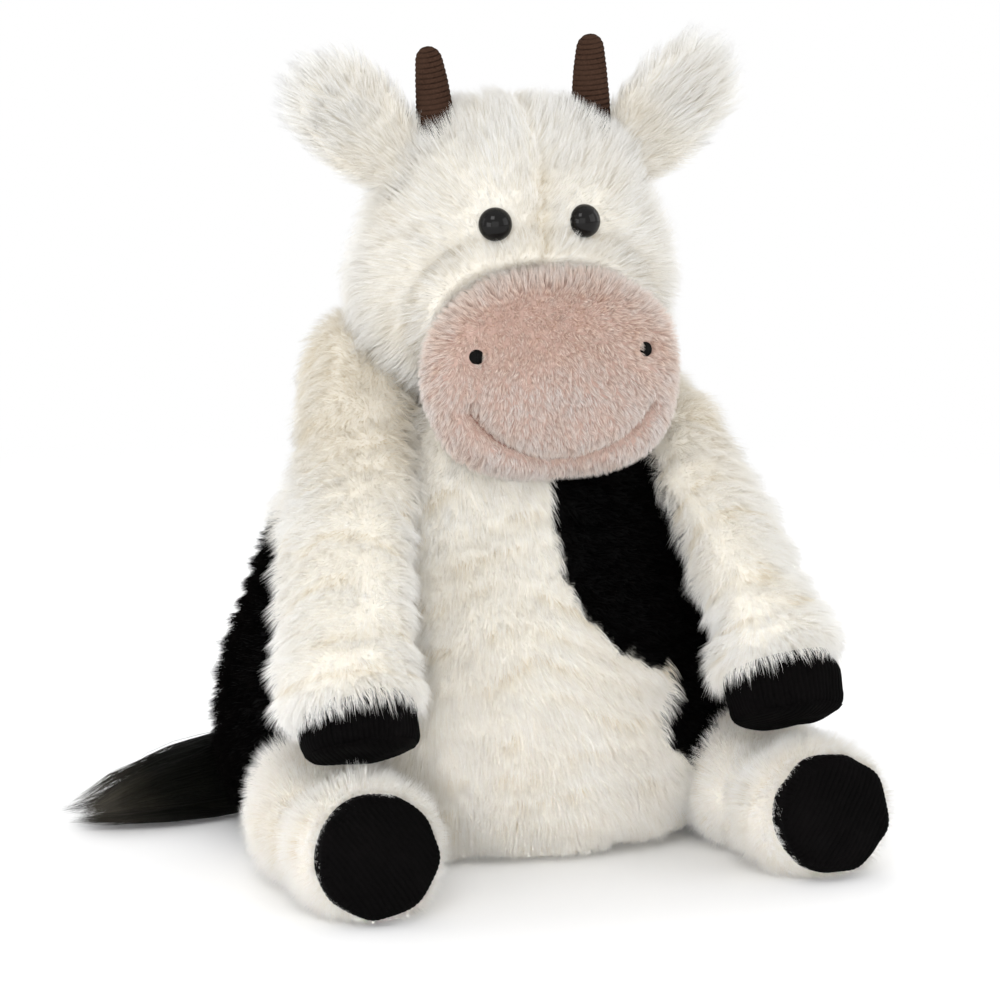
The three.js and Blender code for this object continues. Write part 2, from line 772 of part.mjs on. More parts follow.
function earPiece(sideName, side) {
  const root = placed(earRoot, side);
  const tip = placed(earTip, side);
  const along = tip.clone().sub(root);
  const length = along.length();
  const direction = along.clone().normalize();
  const thick = new THREE.Vector3(0, -1, 0).addScaledVector(direction, direction.y).normalize();
  const wide = direction.clone().cross(thick);
  const at = through(earShares);
  const rings = rootRings(root, direction, wide, thick, earRootRadius);
  for (const share of stations(earShares, smallFacets.steps)) {
    const [width, thickness] = at(share);
    rings.push({
      centre: root.clone().addScaledVector(direction, length * share),
      across: wide.clone().multiplyScalar(earHalfWidth * width),
      upward: thick.clone().multiplyScalar(earHalfThickness * thickness),
      outward: direction,
    });
  }
  rings[rings.length - 1].pole = length * (1 - earShares[earShares.length - 1][0]);
  const ear = toSolid(loft(rings, limbFacets.sides));
  const keep = rootRoom(earRootRadius, root);
  return toMesh(`ear_${sideName}`, ear.subtract(headForm(earClearance).subtract(keep)), materials.whitePlush);
}

// The half ball at a limb's root, from its pole to just before its widest ring
function rootRings(centre, direction, across, upward, radius) {
  const rings = [];
  for (let i = 1; i < rootSteps; i += 1) {
    const turn = Math.PI / 2 * i / rootSteps;
    rings.push({
      centre: centre.clone().addScaledVector(direction, -radius * Math.cos(turn)),
      across: across.clone().multiplyScalar(radius * Math.sin(turn)),
      upward: upward.clone().multiplyScalar(radius * Math.sin(turn)),
      outward: direction,
    });
  }
  rings[0].pole = -radius * (1 - Math.cos(Math.PI / 2 / rootSteps));
  return rings;
}

// Arms and legs

const armPlan = {
  name: 'arm',
  root: shoulder,
  bend: armBend,
  end: armEnd,
  radius: armRadius,
  capRadius: hoofRadius,
  shares: armShares,
  capShares: hoofShares,
  capName: 'hoof',
  clearance: armClearance,
};

const legPlan = {
  name: 'leg',
  root: hip,
  bend: legBend,
  end: legEnd,
  radius: legRadius,
  capRadius: footRadius,
  shares: legShares,
  capShares: footShares,
  capName: 'foot',
  clearance: legClearance,
};

function limbCurve(plan, side) {
  return new THREE.QuadraticBezierCurve3(
    placed(plan.root, side),
    placed(plan.bend, side),
    placed(plan.end, side),
  );
}

// A ring across the limb's curve; every ring keeps the same sideways direction
function limbRing(curve, share, halfWidth, halfHeight = halfWidth) {
  const direction = curve.getTangentAt(share).normalize();
  const across = new THREE.Vector3(1, 0, 0);
  across.addScaledVector(direction, -across.dot(direction)).normalize();
  return {
    centre: curve.getPointAt(share),
    across: across.clone().multiplyScalar(halfWidth),
    upward: direction.clone().cross(across).multiplyScalar(halfHeight),
    outward: direction,
  };
}

function limbSleeve(plan, side, swell, runOn, facets) {
  const curve = limbCurve(plan, side);
  const start = limbRing(curve, 0, 1);
  const at = through(plan.shares);
  const radius = plan.radius + swell;
  const rings = rootRings(start.centre, start.outward, start.across, start.upward, radius);
  for (const share of stations(plan.shares, facets.steps)) {
    const [width, height] = at(share);
    rings.push(limbRing(curve, share, plan.radius * width + swell, plan.radius * height + swell));
  }
  const last = rings[rings.length - 1];
  if (runOn > 0) {
    rings.push(shifted(last, runOn));
  }
  return toSolid(loft(rings, facets.sides));
}

function capRings(plan, side, swell, from, to) {
  const curve = limbCurve(plan, side);
  const at = through(plan.capShares);
  const places = stations(plan.capShares, 1);
  return places.map((place) => {
    const share = from + (to - from) * place;
    return limbRing(curve, share, plan.capRadius * at(place)[0] + swell);
  });
}

function limbPieces(plan, sideName, side) {
  const length = limbCurve(plan, side).getLength();
  const cuff = plan.shares.at(-1)[0];
  const bandStart = cuff + seamGap / length;
  const bandEnd = 1 - (soleThickness + seamGap) / length;
  const root = placed(plan.root, side);
  const bodyCut = (extra) => bodyForm(plan.clearance + extra).subtract(rootRoom(plan.radius - extra, root));

  const inside = limbSleeve(plan, side, -plushWall, cutOverrun, limbHiddenFacets)
    .subtract(bodyCut(plushWall));
  const cover = limbSleeve(plan, side, 0, 0, limbFacets).subtract(bodyCut(0)).subtract(inside);

  const bandOuter = toSolid(loft(capRings(plan, side, 0, bandStart, bandEnd), limbFacets.sides));
  const bore = capRings(plan, side, -cordWall, bandStart, bandEnd);
  bore.unshift(shifted(bore[0], -cutOverrun));
  bore.push(shifted(bore[bore.length - 1], cutOverrun));
  const band = bandOuter.subtract(toSolid(loft(bore, limbHiddenFacets.sides)));

  const rim = limbRing(limbCurve(plan, side), 1, plan.capRadius * plan.capShares.at(-1)[1]);
  const soleRings = [{ ...shifted(rim, -soleThickness / 2), pole: soleCrown }, { ...rim, pole: soleCrown }];
  const sole = toSolid(loft(soleRings, limbFacets.sides));

  const inset = plushWall + seamGap;
  const fillRings = capRings(plan, side, -inset, cuff - seamGap / length, bandEnd);
  const filling = limbSleeve(plan, side, -inset, 0, limbHiddenFacets)
    .subtract(bodyCut(inset))
    .add(toSolid(loft(fillRings, limbHiddenFacets.sides)));

  return [
    toMesh(`${plan.name}_cover_${sideName}`, cover, materials.whitePlush),
    toMesh(`${plan.name}_filling_${sideName}`, filling, materials.fibre),
    toMesh(`${plan.capName}_band_${sideName}`, band, materials.blackCord),
    toMesh(`${plan.capName}_sole_${sideName}`, sole, materials.blackCord),
  ];
}

function shifted(ring, distance) {
  return { ...ring, centre: ring.centre.clone().addScaledVector(ring.outward, distance) };
}

// Tail

function tailPieces() {
  const root = placed(tailRoot);
  const upward = new THREE.Vector3(0, 0, 1);
  const curve = new THREE.QuadraticBezierCurve3(root, placed(tubeBend), placed(tubeEnd));
  const first = limbRing(curve, 0, 1);
  const rings = rootRings(root, first.outward, first.across, first.upward, tailRadius);
  for (let step = 0; step <= tailSteps; step += 1) {
    const share = step / tailSteps;
    const ring = limbRing(curve, share, 1);
    const across = upward.clone().cross(ring.outward).normalize();
    const radius = tailRadius * (1 - tailTaperShare * share);
    rings.push({
      ...ring,
      across: across.multiplyScalar(radius),
      upward: upward.clone().multiplyScalar(radius),
    });
  }
  const tube = toSolid(loft(rings, smallFacets.sides))
    .subtract(bodyForm(seamGap).subtract(rootRoom(tailRadius, root)))
    .subtract(tuftForm(seamGap));
  return [
    toMesh('tail_tube', tube, materials.blackPlush),
    toMesh('tail_tuft', tuftForm(0), materials.tailHair),
  ];
}

// The tuft starts just inside the tube's end, which is cut to meet it
function tuftForm(swell) {
  const start = placed(tubeEnd);
  const direction = placed(tailEnd).sub(start);
  const length = direction.length();
  direction.normalize();
  const upward = new THREE.Vector3(0, 0, 1);
  const across = upward.clone().cross(direction).normalize();
  const at = through(tuftShares);
  const rings = stations(tuftShares, 1).map((share) => ({
    centre: start.clone().addScaledVector(direction, length * share),
    across: across.clone().multiplyScalar(tuftHalfThickness * at(share)[0] + swell),
    upward: upward.clone().multiplyScalar(tuftHalfHeight * at(share)[0] + swell),
    outward: direction,
  }));
  rings[0] = shifted(rings[0], -swell);
  rings[rings.length - 1].pole = length * (1 - tuftShares[tuftShares.length - 1][0]) + swell;
  return toSolid(loft(rings, smallFacets.sides));
}

function buildCow() {
  const cow = new THREE.Group();
  cow.add(...bodyPieces(), ...headPieces(), ...tailPieces());
  for (const [sideName, side] of bothSides) {
    cow.add(earPiece(sideName, side));
    cow.add(...limbPieces(armPlan, sideName, side));
    cow.add(...limbPieces(legPlan, sideName, side));
  }
  return cow;
}

export default buildCow();
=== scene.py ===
import json
import math

import bpy
import numpy as np
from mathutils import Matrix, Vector
from mathutils.bvhtree import BVHTree
from mathutils.kdtree import KDTree


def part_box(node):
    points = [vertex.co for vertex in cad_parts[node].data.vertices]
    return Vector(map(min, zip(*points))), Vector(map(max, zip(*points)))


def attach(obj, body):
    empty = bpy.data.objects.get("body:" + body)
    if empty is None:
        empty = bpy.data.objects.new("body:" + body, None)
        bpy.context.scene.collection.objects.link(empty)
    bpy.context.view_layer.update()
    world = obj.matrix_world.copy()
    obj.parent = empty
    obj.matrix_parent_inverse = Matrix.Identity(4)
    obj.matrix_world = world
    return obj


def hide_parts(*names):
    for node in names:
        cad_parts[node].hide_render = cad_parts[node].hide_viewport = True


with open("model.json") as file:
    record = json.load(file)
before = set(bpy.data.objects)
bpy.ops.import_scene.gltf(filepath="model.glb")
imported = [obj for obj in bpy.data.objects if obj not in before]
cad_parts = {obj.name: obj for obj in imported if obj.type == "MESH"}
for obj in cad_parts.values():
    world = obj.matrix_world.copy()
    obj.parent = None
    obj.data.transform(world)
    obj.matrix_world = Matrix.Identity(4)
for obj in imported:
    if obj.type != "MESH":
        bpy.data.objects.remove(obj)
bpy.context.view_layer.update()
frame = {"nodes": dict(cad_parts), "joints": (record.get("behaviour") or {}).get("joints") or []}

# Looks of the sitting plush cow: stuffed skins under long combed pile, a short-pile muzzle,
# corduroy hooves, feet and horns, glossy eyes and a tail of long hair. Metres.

MM = 0.001
TURN = 2.0 * math.pi
SIDES = {"left": 1.0, "right": -1.0}
RIGHTWARD = np.array((1.0, 0.0, 0.0))
DOWN = np.array((0.0, 0.0, -1.0))
UP = -DOWN
FORWARD = np.array((0.0, -1.0, 0.0))
FLOOR_CLEARANCE = 0.3 * MM

# Hairs: how far their shading leaves the skin's own, and the most triangles in a piece
SHADE_SHARE = 1.1
PIECE_TRIANGLES = 190000
HAIR_WIDTH = 0.21 * MM

# Coats of pile: hairs a square centimetre, their length, their lift off the skin at root and
# tip in degrees, and how they gather into tufts and rows
HEM = dict(colour="white", density=330, lifts=(60, 26), sway=0.28, clump_hairs=16, gather=0.5)
COATS = {
    "body": dict(colour="white", density=170, length=9.8 * MM, lifts=(60, 34), seed=11),
    "patch": dict(
        colour="black", density=150, length=5.8 * MM, lifts=(78, 58), width=0.27 * MM, band_pitch=8 * MM,
        band_depth=1.6, clump_hairs=50, swirl=0.4, swirl_size=14 * MM, gather=0.25,
    ),
    "crown": dict(colour="white", density=190, length=7.4 * MM, lifts=(80, 66), seed=36),
    "head": dict(colour="white", density=190, length=9.6 * MM, lifts=(62, 34), band_depth=0.6),
    "muzzle": dict(
        colour="pink", density=330, length=3.6 * MM, lifts=(66, 46), seed=41, width=0.24 * MM,
        clump_hairs=12, sway=0.26, swirl=0.25, swirl_size=18 * MM, gather=0.45,
    ),
    "ear": dict(colour="white", density=260, length=10.4 * MM, lifts=(46, 24), band_depth=0.6, gather=0.3),
    "arm": dict(colour="white", density=200, length=9.4 * MM, lifts=(61, 36), gather=0.16),
    "arm_hem": dict(HEM, length=8.0 * MM),
    "leg": dict(colour="white", density=210, length=8.6 * MM, lifts=(70, 50), gather=0.16),
    "leg_hem": dict(HEM, length=6.5 * MM),
    "tail": dict(colour="black", density=130, length=8.0 * MM, lifts=(50, 20), seed=71, width=0.3 * MM),
}
# Seeds of the coats that share their other settings, and of the tail's tuft
PATCH_SEED = 20
HEAD_SEEDS = {"front": 31, "back": 32}
EAR_SEEDS = {"left": 51, "right": 52}
TUFT_SEED, LOCK_SEED = 72, 73

# Skins
SKIN_VOXEL = 4.0 * MM
COVER_DEPTH = 1.9 * MM
BODY_CENTRE = (0.0, -0.006, 0.085)
STUFFING_PRESSURE = 4.0
STUFFING_FRAMES = 20
BODY_SLACK = 3.0 * MM
LIMB_SLACK = 2.0 * MM
# The rays that find a star-shaped skin start this far out, in so many rows and columns
RAY_REACH = 0.4
STAR_ROWS, STAR_COLUMNS = 40, 64
BRIDGE_ROUNDS = 300

# Corduroy
WALE_PITCH = 1.95 * MM
WALE_HEIGHT = 0.34 * MM
HORN_WALE_PITCH = 1.9 * MM
HORN_WALE_HEIGHT = 0.42 * MM
SEAM_DEPTH = 0.9 * MM
SEAM_WIDTH = 1.1 * MM
SOLE_CROWN = 3.4 * MM
# The band's radius at its seam with the end panel, in shares of the CAD panel's
CAP_SHARE = 0.955
CORNER_COUNT = 7
CORNER_SHARE = 0.035

# Muzzle, in shares of its own half sizes as the CAD model has them
MUZZLE_DEPTH_SHARE = 0.448
MUZZLE_SQUARENESS = 2.5
NOSTRIL_SHARES = (0.66, 0.215)
SMILE_RADIUS_SHARE = 0.854
SMILE_DROP_SHARE = 0.836
SMILE_HALF_ANGLE = 0.98
MUZZLE_TAPER = 0.13
MUZZLE_WIDTH = 0.975
MUZZLE_SHIFT = 1.6 * MM
MUZZLE_TOP = 0.94
NOSTRIL_GAP = 2.4 * MM

# Head, horns and ears
CHEEK_SWELL = 4.0 * MM
HORN_MOUND = 1.0 * MM
HORN_RISES = {"left": 1.2 * MM, "right": -2.0 * MM}
EAR_SHIFT = 3.5 * MM
EAR_HALF_WIDTH = 14.0 * MM
# At shares of the ear's length, in millimetres
EAR_WIDTHS = ((0.0, 0.15, 0.35, 0.55, 0.75, 0.9, 1.0), (11.0, 13.0, 15.5, 15.8, 14.4, 11.0, 4.0))
EAR_DEPTHS = ((0.0, 0.2, 0.6, 0.9, 1.0), (7.0, 6.4, 5.2, 4.2, 2.4))
EAR_TIP_SHIFTS = {"left": np.array((0.0, 0.0, -0.5)) * MM, "right": np.array((4.5, 0.0, -3.5)) * MM}

# Camera, as fitted to the photograph
CAMERA_AZIMUTH = math.radians(-20.1)
CAMERA_ELEVATION = math.radians(10.0)
CAMERA_DISTANCE = 1.5
CAMERA_TARGET = Vector((-0.0058, -0.035, 0.1272))
CAMERA_LENS = 146.8
CAMERA_SENSOR = 36.0

# How bright the white surroundings light the cow
WORLD_LEVEL = 0.84

# How far out the floor reaches, and where it starts and ends to fade into the white backdrop
FLOOR_REACH = 30.0
FLOOR_FADE = (0.25, 0.9)

# Lamps: name, place, what they face, width, height, watts and spread in degrees
TORSO = (0.0, 0.0, 0.12)
LAMPS = (
    ("key", (-0.9, -1.5, 1.9), TORSO, 0.8, 0.8, 9.8, 180.0),
    ("fill", (1.5, -1.2, 0.8), TORSO, 1.2, 1.2, 6.5, 180.0),
    ("front", (-0.5, -2.0, 0.35), (0.0, 0.0, 0.08), 1.4, 1.4, 7.0, 180.0),
    ("low", (-1.6, -1.3, 0.3), (0.0, 0.0, 0.04), 1.0, 1.0, 9.0, 180.0),
    ("legs", (-0.7, -1.5, 0.14), (0.0, -0.1, -0.03), 0.7, 0.1, 0.21, 14.0),
    ("rear", (0.4, 1.4, 1.5), TORSO, 1.2, 1.2, 8.0, 180.0),
    ("side", (1.7, 0.5, 0.7), TORSO, 1.2, 1.2, 5.0, 180.0),
    ("side", (-1.7, 0.5, 0.7), TORSO, 1.2, 1.2, 5.0, 180.0),
)


# Small helpers

def unit(vectors):
    """The same directions with length one."""
    return vectors / np.maximum(np.linalg.norm(vectors, axis=-1, keepdims=True), 1e-12)


def dots(first, second):
    return np.sum(first * second, axis=-1, keepdims=True)


def laid(ways, normals):
    """Ways turned into the planes square to the normals, with length one."""
    return unit(ways - normals * dots(ways, normals))


def gaps_to(points, place):
    return np.linalg.norm(points - place, axis=-1)


def ease(values, start, end):
    """0 before start, 1 after end, smooth between."""
    t = np.clip((values - start) / (end - start), 0.0, 1.0)
    return t * t * (3.0 - 2.0 * t)


def bell(values, width, middle=0.0):
    """1 at the middle, fading to little past the width."""
    return np.exp(-((values - middle) / width) ** 2)


def noise(points, size, seed, waves=14):
    """Smooth seeded noise, mostly between -1 and 1, whose blobs are about the given size."""
    rng = np.random.default_rng(seed)
    directions = unit(rng.normal(size=(waves, 3)))
    rates = TURN / size * rng.uniform(0.5, 1.4, size=(waves, 1))
    phases = rng.uniform(0.0, TURN, waves)
    return np.sin(points @ (directions * rates).T + phases).sum(axis=1) / math.sqrt(waves)


def circle(sides):
    """Evenly spaced turns, in radians."""
    return np.linspace(0.0, TURN, sides, endpoint=False)


def ring(middle, out, turns, across, above):
    """Points round a middle, so far out at each turn in the plane of across and above."""
    return middle + out[..., None] * (np.cos(turns)[:, None] * across + np.sin(turns)[:, None] * above)


def quadratic(start, bend, end, count):
    """Points and directions along a curve that leaves its start towards the bend."""
    shares = np.linspace(0.0, 1.0, count)[:, None]
    line = start * (1.0 - shares) ** 2 + bend * 2.0 * shares * (1.0 - shares) + end * shares ** 2
    return line, unit(np.gradient(line, axis=0))


def nearest_rows(places, line):
    """For each place, the row of the line that is nearest."""
    return gaps_to(places[:, None, :], line[None]).argmin(axis=1)


def main_axis(points, rank, facing):
    """The points' principal axis of a rank, 0 the thinnest and -1 the longest, turned to face a way."""
    axis = np.linalg.eigh(np.cov((points - points.mean(axis=0)).T))[1][:, rank]
    return axis if axis @ facing > 0.0 else -axis


def joint_place(name):
    """Where a CAD joint sits, in metres."""
    return np.array(next(j["pos_m"] for j in frame["joints"] if j["name"] == name), float)


def node_points(name):
    """The corners of a CAD node, in metres."""
    return points_of(frame["nodes"][name])


def node_geometry(*names):
    """The corners and faces of CAD nodes, as one list each."""
    points, faces = [], []
    for name in names:
        mesh = frame["nodes"][name].data
        start = len(points)
        points.extend(tuple(v.co) for v in mesh.vertices)
        faces.extend([start + i for i in p.vertices] for p in mesh.polygons)
    return points, faces


def read(items, name, width=3, kind=float):
    """One value of all of a mesh's points, faces or triangles, a row each."""
    values = np.empty(len(items) * width, kind)
    items.foreach_get(name, values)
    return values.reshape(-1, width)


def points_of(piece):
    return read(piece.data.vertices, "co")


def normals_of(piece):
    return read(piece.data.vertices, "normal")


def face_middles(piece):
    return read(piece.data.polygons, "center")


def set_points(piece, points):
    piece.data.vertices.foreach_set("co", points.ravel())
    piece.data.update()


def set_smooth(mesh):
    mesh.polygons.foreach_set("use_smooth", np.ones(len(mesh.polygons), bool))


def add_values(mesh, name, values):
    """A number for each point, for a material to read."""
    mesh.attributes.new(name, "FLOAT", "POINT").data.foreach_set("value", values.astype(np.float32))


def add_object(name, data):
    item = bpy.data.objects.new(name, data)
    bpy.context.scene.collection.objects.link(item)
    return item


def add_piece(name, points, faces):
    """A smooth-shaded piece from a point list and arrays or lists of corner numbers."""
    mesh = bpy.data.meshes.new(name)
    mesh.from_pydata([tuple(p) for p in points], [], [tuple(int(i) for i in f) for f in faces])
    set_smooth(mesh)
    mesh.update()
    return add_object(name, mesh)


def add_rings(name, rings, crests=None, first=None, last=None):
    """A closed piece over rings of points, with a point in the middle of each end."""
    count, sides = rings.shape[:2]
    first = rings[0].mean(axis=0) if first is None else first
    last = rings[-1].mean(axis=0) if last is None else last
    points = [first, *rings.reshape(-1, 3), last]
    end = 1 + (count - 1) * sides
    faces = []
    for k in range(sides):
        nxt = (k + 1) % sides
        faces.append((0, 1 + nxt, 1 + k))
        for a in range(1, end, sides):
            faces.append((a + k, a + nxt, a + sides + nxt, a + sides + k))
        faces.append((end + k, end + nxt, len(points) - 1))
    piece = add_piece(name, points, faces)
    if crests is not None:
        values = [[crests[0].mean()], crests.ravel(), [crests[-1].mean()]]
        add_values(piece.data, "crest", np.concatenate(values))
    return piece


def bake_modifiers(piece):
    """Turns what the modifiers show into the piece's own mesh."""
    shown = piece.evaluated_get(bpy.context.evaluated_depsgraph_get())
    mesh = bpy.data.meshes.new_from_object(shown)
    piece.modifiers.clear()
    piece.data = mesh
    set_smooth(mesh)


def change(piece, kind, **settings):
    """Runs one modifier on a piece."""
    modifier = piece.modifiers.new("change", kind)
    for name, value in settings.items():
        setattr(modifier, name, value)
    bake_modifiers(piece)


def remesh(piece, voxel):
    change(piece, "REMESH", mode="VOXEL", voxel_size=voxel)


def smooth(piece, rounds):
    change(piece, "SMOOTH", iterations=rounds, factor=0.5)


def subdivide(piece):
    change(piece, "SUBSURF", levels=1, render_levels=1)


def stuff(piece, slack):
    """Fills a skin as stuffing does: pressure swells the cloth, which moves no further than slack."""
    rest = points_of(piece)
    cloth = piece.modifiers.new("cloth", "CLOTH")
    cloth.settings.use_pressure = True
    cloth.settings.uniform_pressure_force = STUFFING_PRESSURE
    cloth.settings.effector_weights.gravity = 0.0
    cloth.settings.shrink_min = -0.06
    cloth.point_cache.frame_end = STUFFING_FRAMES
    for number in range(1, STUFFING_FRAMES + 1):
        bpy.context.scene.frame_set(number)
    bake_modifiers(piece)
    bpy.context.scene.frame_set(1)
    moved = points_of(piece) - rest
    reach = np.linalg.norm(moved, axis=1, keepdims=True)
    set_points(piece, rest + moved * np.minimum(1.0, slack / np.maximum(reach, 1e-9)))


# Materials, by the names that the pieces ask for
MATERIALS = {}


def new_material(name, roughness, specular=0.5):
    """A material with its main shader, whose plain numbers sit on the shader's own sockets."""
    material = MATERIALS[name] = bpy.data.materials.new(name)
    material.use_nodes = True
    shader = material.node_tree.nodes["Principled BSDF"]
    shader.inputs["Roughness"].default_value = roughness
    shader.inputs["Specular IOR Level"].default_value = specular
    return material.node_tree, shader


def add_node(tree, kind, **settings):
    node = tree.nodes.new(kind)
    for name, value in settings.items():
        setattr(node, name, value)
    return node


def feed(tree, sockets, values):
    """Links each value that comes from a node to its socket, and sets the others on theirs."""
    for socket, value in zip(sockets, values):
        if isinstance(value, bpy.types.NodeSocket):
            tree.links.new(value, socket)
        else:
            socket.default_value = value


def ramp(tree, factor, stops):
    """A colour ramp over a factor; stops are (place, colour) pairs."""
    node = add_node(tree, "ShaderNodeValToRGB")
    elements = node.color_ramp.elements
    while len(elements) < len(stops):
        elements.new(0.5)
    for element, (place, colour) in zip(elements, stops):
        element.position = place
        element.color = (*colour, 1.0)
    tree.links.new(factor, node.inputs["Fac"])
    return node.outputs["Color"]


def mix_colours(tree, factor, first, second, blend="MIX"):
    node = add_node(tree, "ShaderNodeMix", data_type="RGBA", blend_type=blend)
    feed(tree, (node.inputs[0], node.inputs[6], node.inputs[7]), (factor, first, second))
    return node.outputs[2]


def math_node(tree, operation, *values):
    node = add_node(tree, "ShaderNodeMath", operation=operation)
    feed(tree, node.inputs, values)
    return node.outputs[0]


def noise_node(tree, scale, detail=3.0):
    """Noise over the piece's own coordinates, which stay with it in every pose."""
    place = add_node(tree, "ShaderNodeTexCoord")
    node = add_node(tree, "ShaderNodeTexNoise")
    node.inputs["Scale"].default_value = scale
    node.inputs["Detail"].default_value = detail
    tree.links.new(place.outputs["Object"], node.inputs["Vector"])
    return node.outputs["Fac"]


def mottle(tree, scale, dark, light, detail=3.0):
    """A colour that wanders between a dark and a light one."""
    return ramp(tree, noise_node(tree, scale, detail), [(0.3, dark), (0.7, light)])


def add_bump(tree, shader, scale, strength, distance, detail=3.0):
    node = add_node(tree, "ShaderNodeBump")
    node.inputs["Strength"].default_value = strength
    node.inputs["Distance"].default_value = distance
    tree.links.new(noise_node(tree, scale, detail), node.inputs["Height"])
    tree.links.new(node.outputs["Normal"], shader.inputs["Normal"])


# Each hair takes one small patch of the map: its column says how creamy the hair is, by random
# tone and by painted shade in partings and creases, its row picks a tint, and up the patch the
# colour runs from root to tip, the darker roots being painted shade deep in the pile
LEVELS = 128
TINTS = 16


def hair_material(name, plain, deep, tints, roughness=0.9, specular=0.1):
    """Pile whose colour goes from the plain root-to-tip ramp to the deep one; the darker roots are
    painted shade deep in the pile, and the deep ramp paints the shade of partings and creases.
    """
    tree, shader = new_material(name, roughness, specular)
    places = add_node(tree, "ShaderNodeUVMap", uv_map="OFBake")
    split = add_node(tree, "ShaderNodeSeparateXYZ")
    tree.links.new(places.outputs["UV"], split.inputs[0])
    column = math_node(tree, "FLOOR", math_node(tree, "MULTIPLY", split.outputs["X"], float(LEVELS)))
    rows = math_node(tree, "MULTIPLY", split.outputs["Y"], float(TINTS))
    share = math_node(tree, "FRACT", rows)
    cell = add_node(tree, "ShaderNodeCombineXYZ")
    feed(tree, cell.inputs, (column, math_node(tree, "FLOOR", rows)))
    chance = add_node(tree, "ShaderNodeTexWhiteNoise", noise_dimensions="2D")
    tree.links.new(cell.outputs[0], chance.inputs["Vector"])
    level = math_node(tree, "DIVIDE", column, LEVELS - 1.0)
    colour = mix_colours(tree, level, ramp(tree, share, plain), ramp(tree, share, deep))
    tint = ramp(tree, chance.outputs["Value"], tints)
    tree.links.new(mix_colours(tree, 1.0, colour, tint, "MULTIPLY"), shader.inputs["Base Color"])


def mottled_material(name, scale, dark, light, roughness, specular=0.5):
    tree, shader = new_material(name, roughness, specular)
    tree.links.new(mottle(tree, scale, dark, light), shader.inputs["Base Color"])


def cloth_backing(name, dark, light, patched=False):
    """The knitted cloth that carries the pile, black where the patch attribute says so."""
    tree, shader = new_material(name, 0.95, 0.1)
    colour = mottle(tree, 420.0, dark, light)
    if patched:
        patch = add_node(tree, "ShaderNodeAttribute", attribute_name="patch")
        colour = mix_colours(tree, patch.outputs["Fac"], colour, (0.001, 0.001, 0.001, 1.0))
    tree.links.new(colour, shader.inputs["Base Color"])
    add_bump(tree, shader, 900.0, 0.3, 0.4 * MM)


def corduroy(name, valley, crest, worn):
    """Ribbed velvet: the mesh has the ribs, and the crest attribute tells where they rise. Its
    valleys are painted darker as painted shade and its crests lighter as a painted highlight.
    """
    tree, shader = new_material(name, 0.9, 0.014)
    height = add_node(tree, "ShaderNodeAttribute", attribute_name="crest")
    # Painted shade in the rib valleys and a painted highlight on the crests
    colour = ramp(tree, height.outputs["Fac"], [(0.15, valley), (0.75, crest)])
    fluff = mottle(tree, 1500.0, (0.75, 0.75, 0.75), (1.2, 1.2, 1.2), detail=5.0)
    colour = mix_colours(tree, 1.0, colour, fluff, "MULTIPLY")
    rubbed = ramp(tree, noise_node(tree, 60.0), [(0.45, (0.0, 0.0, 0.0)), (0.8, (1.0, 1.0, 1.0))])
    tree.links.new(mix_colours(tree, rubbed, colour, (*worn, 1.0)), shader.inputs["Base Color"])
    shader.inputs["Sheen Weight"].default_value = 0.003
    add_bump(tree, shader, 2600.0, 0.5, 0.25 * MM, detail=4.0)


WHITE_BACKING = ((0.84, 0.8, 0.71), (0.89, 0.86, 0.79))
# The ramps' darker roots are painted shade deep in the pile; the deep ramps are the colour of painted shade
# in partings and creases
hair_material(
    "white_pile",
    [(0.0, (0.9, 0.875, 0.82)), (0.45, (0.945, 0.935, 0.905)), (1.0, (0.965, 0.962, 0.95))],
    [(0.0, (0.76, 0.67, 0.52)), (0.5, (0.85, 0.79, 0.67)), (1.0, (0.915, 0.885, 0.81))],
    [(0.0, (0.975, 0.97, 0.955)), (0.4, (1.0, 1.0, 1.0)), (1.0, (1.0, 1.0, 1.0))],
)
hair_material(
    "black_pile",
    [(0.0, (0.0003, 0.0003, 0.0003)), (1.0, (0.0012, 0.001, 0.001))],
    [(0.0, (0.0003, 0.0003, 0.0003)), (1.0, (0.006, 0.0052, 0.0048))],
    [(0.0, (0.6, 0.6, 0.6)), (1.0, (1.0, 0.95, 0.92))],
    roughness=0.8,
    specular=0.012,
)
hair_material(
    "pink_pile",
    [(0.0, (0.68, 0.595, 0.555)), (0.5, (0.865, 0.8, 0.765)), (1.0, (0.965, 0.925, 0.89))],
    [(0.0, (0.5, 0.31, 0.235)), (0.5, (0.83, 0.625, 0.51)), (1.0, (0.98, 0.875, 0.775))],
    [(0.0, (0.74, 0.69, 0.66)), (0.4, (0.98, 0.98, 0.98)), (1.0, (1.02, 1.02, 1.02))],
)
hair_material(
    "tail_hair",
    [(0.0, (0.0008, 0.0009, 0.0008)), (0.8, (0.003, 0.0034, 0.0027)), (1.0, (0.012, 0.011, 0.009))],
    [(0.0, (0.001, 0.0011, 0.001)), (0.6, (0.008, 0.008, 0.006)), (1.0, (0.12, 0.105, 0.082))],
    [(0.0, (0.5, 0.52, 0.5)), (0.8, (1.0, 1.0, 1.0)), (1.0, (1.7, 1.65, 1.5))],
    roughness=0.5,
    specular=0.14,
)
cloth_backing("white_backing", *WHITE_BACKING)
cloth_backing("body_backing", *WHITE_BACKING, patched=True)
cloth_backing("black_backing", (0.0008, 0.0008, 0.0008), (0.002, 0.0018, 0.0018))
cloth_backing("pink_backing", (0.5, 0.35, 0.3), (0.6, 0.44, 0.38))
corduroy("black_corduroy", (0.0006, 0.0006, 0.0006), (0.0024, 0.0022, 0.0022), (0.0034, 0.003, 0.003))
corduroy("brown_corduroy", (0.008, 0.004, 0.003), (0.05, 0.027, 0.018), (0.056, 0.031, 0.021))
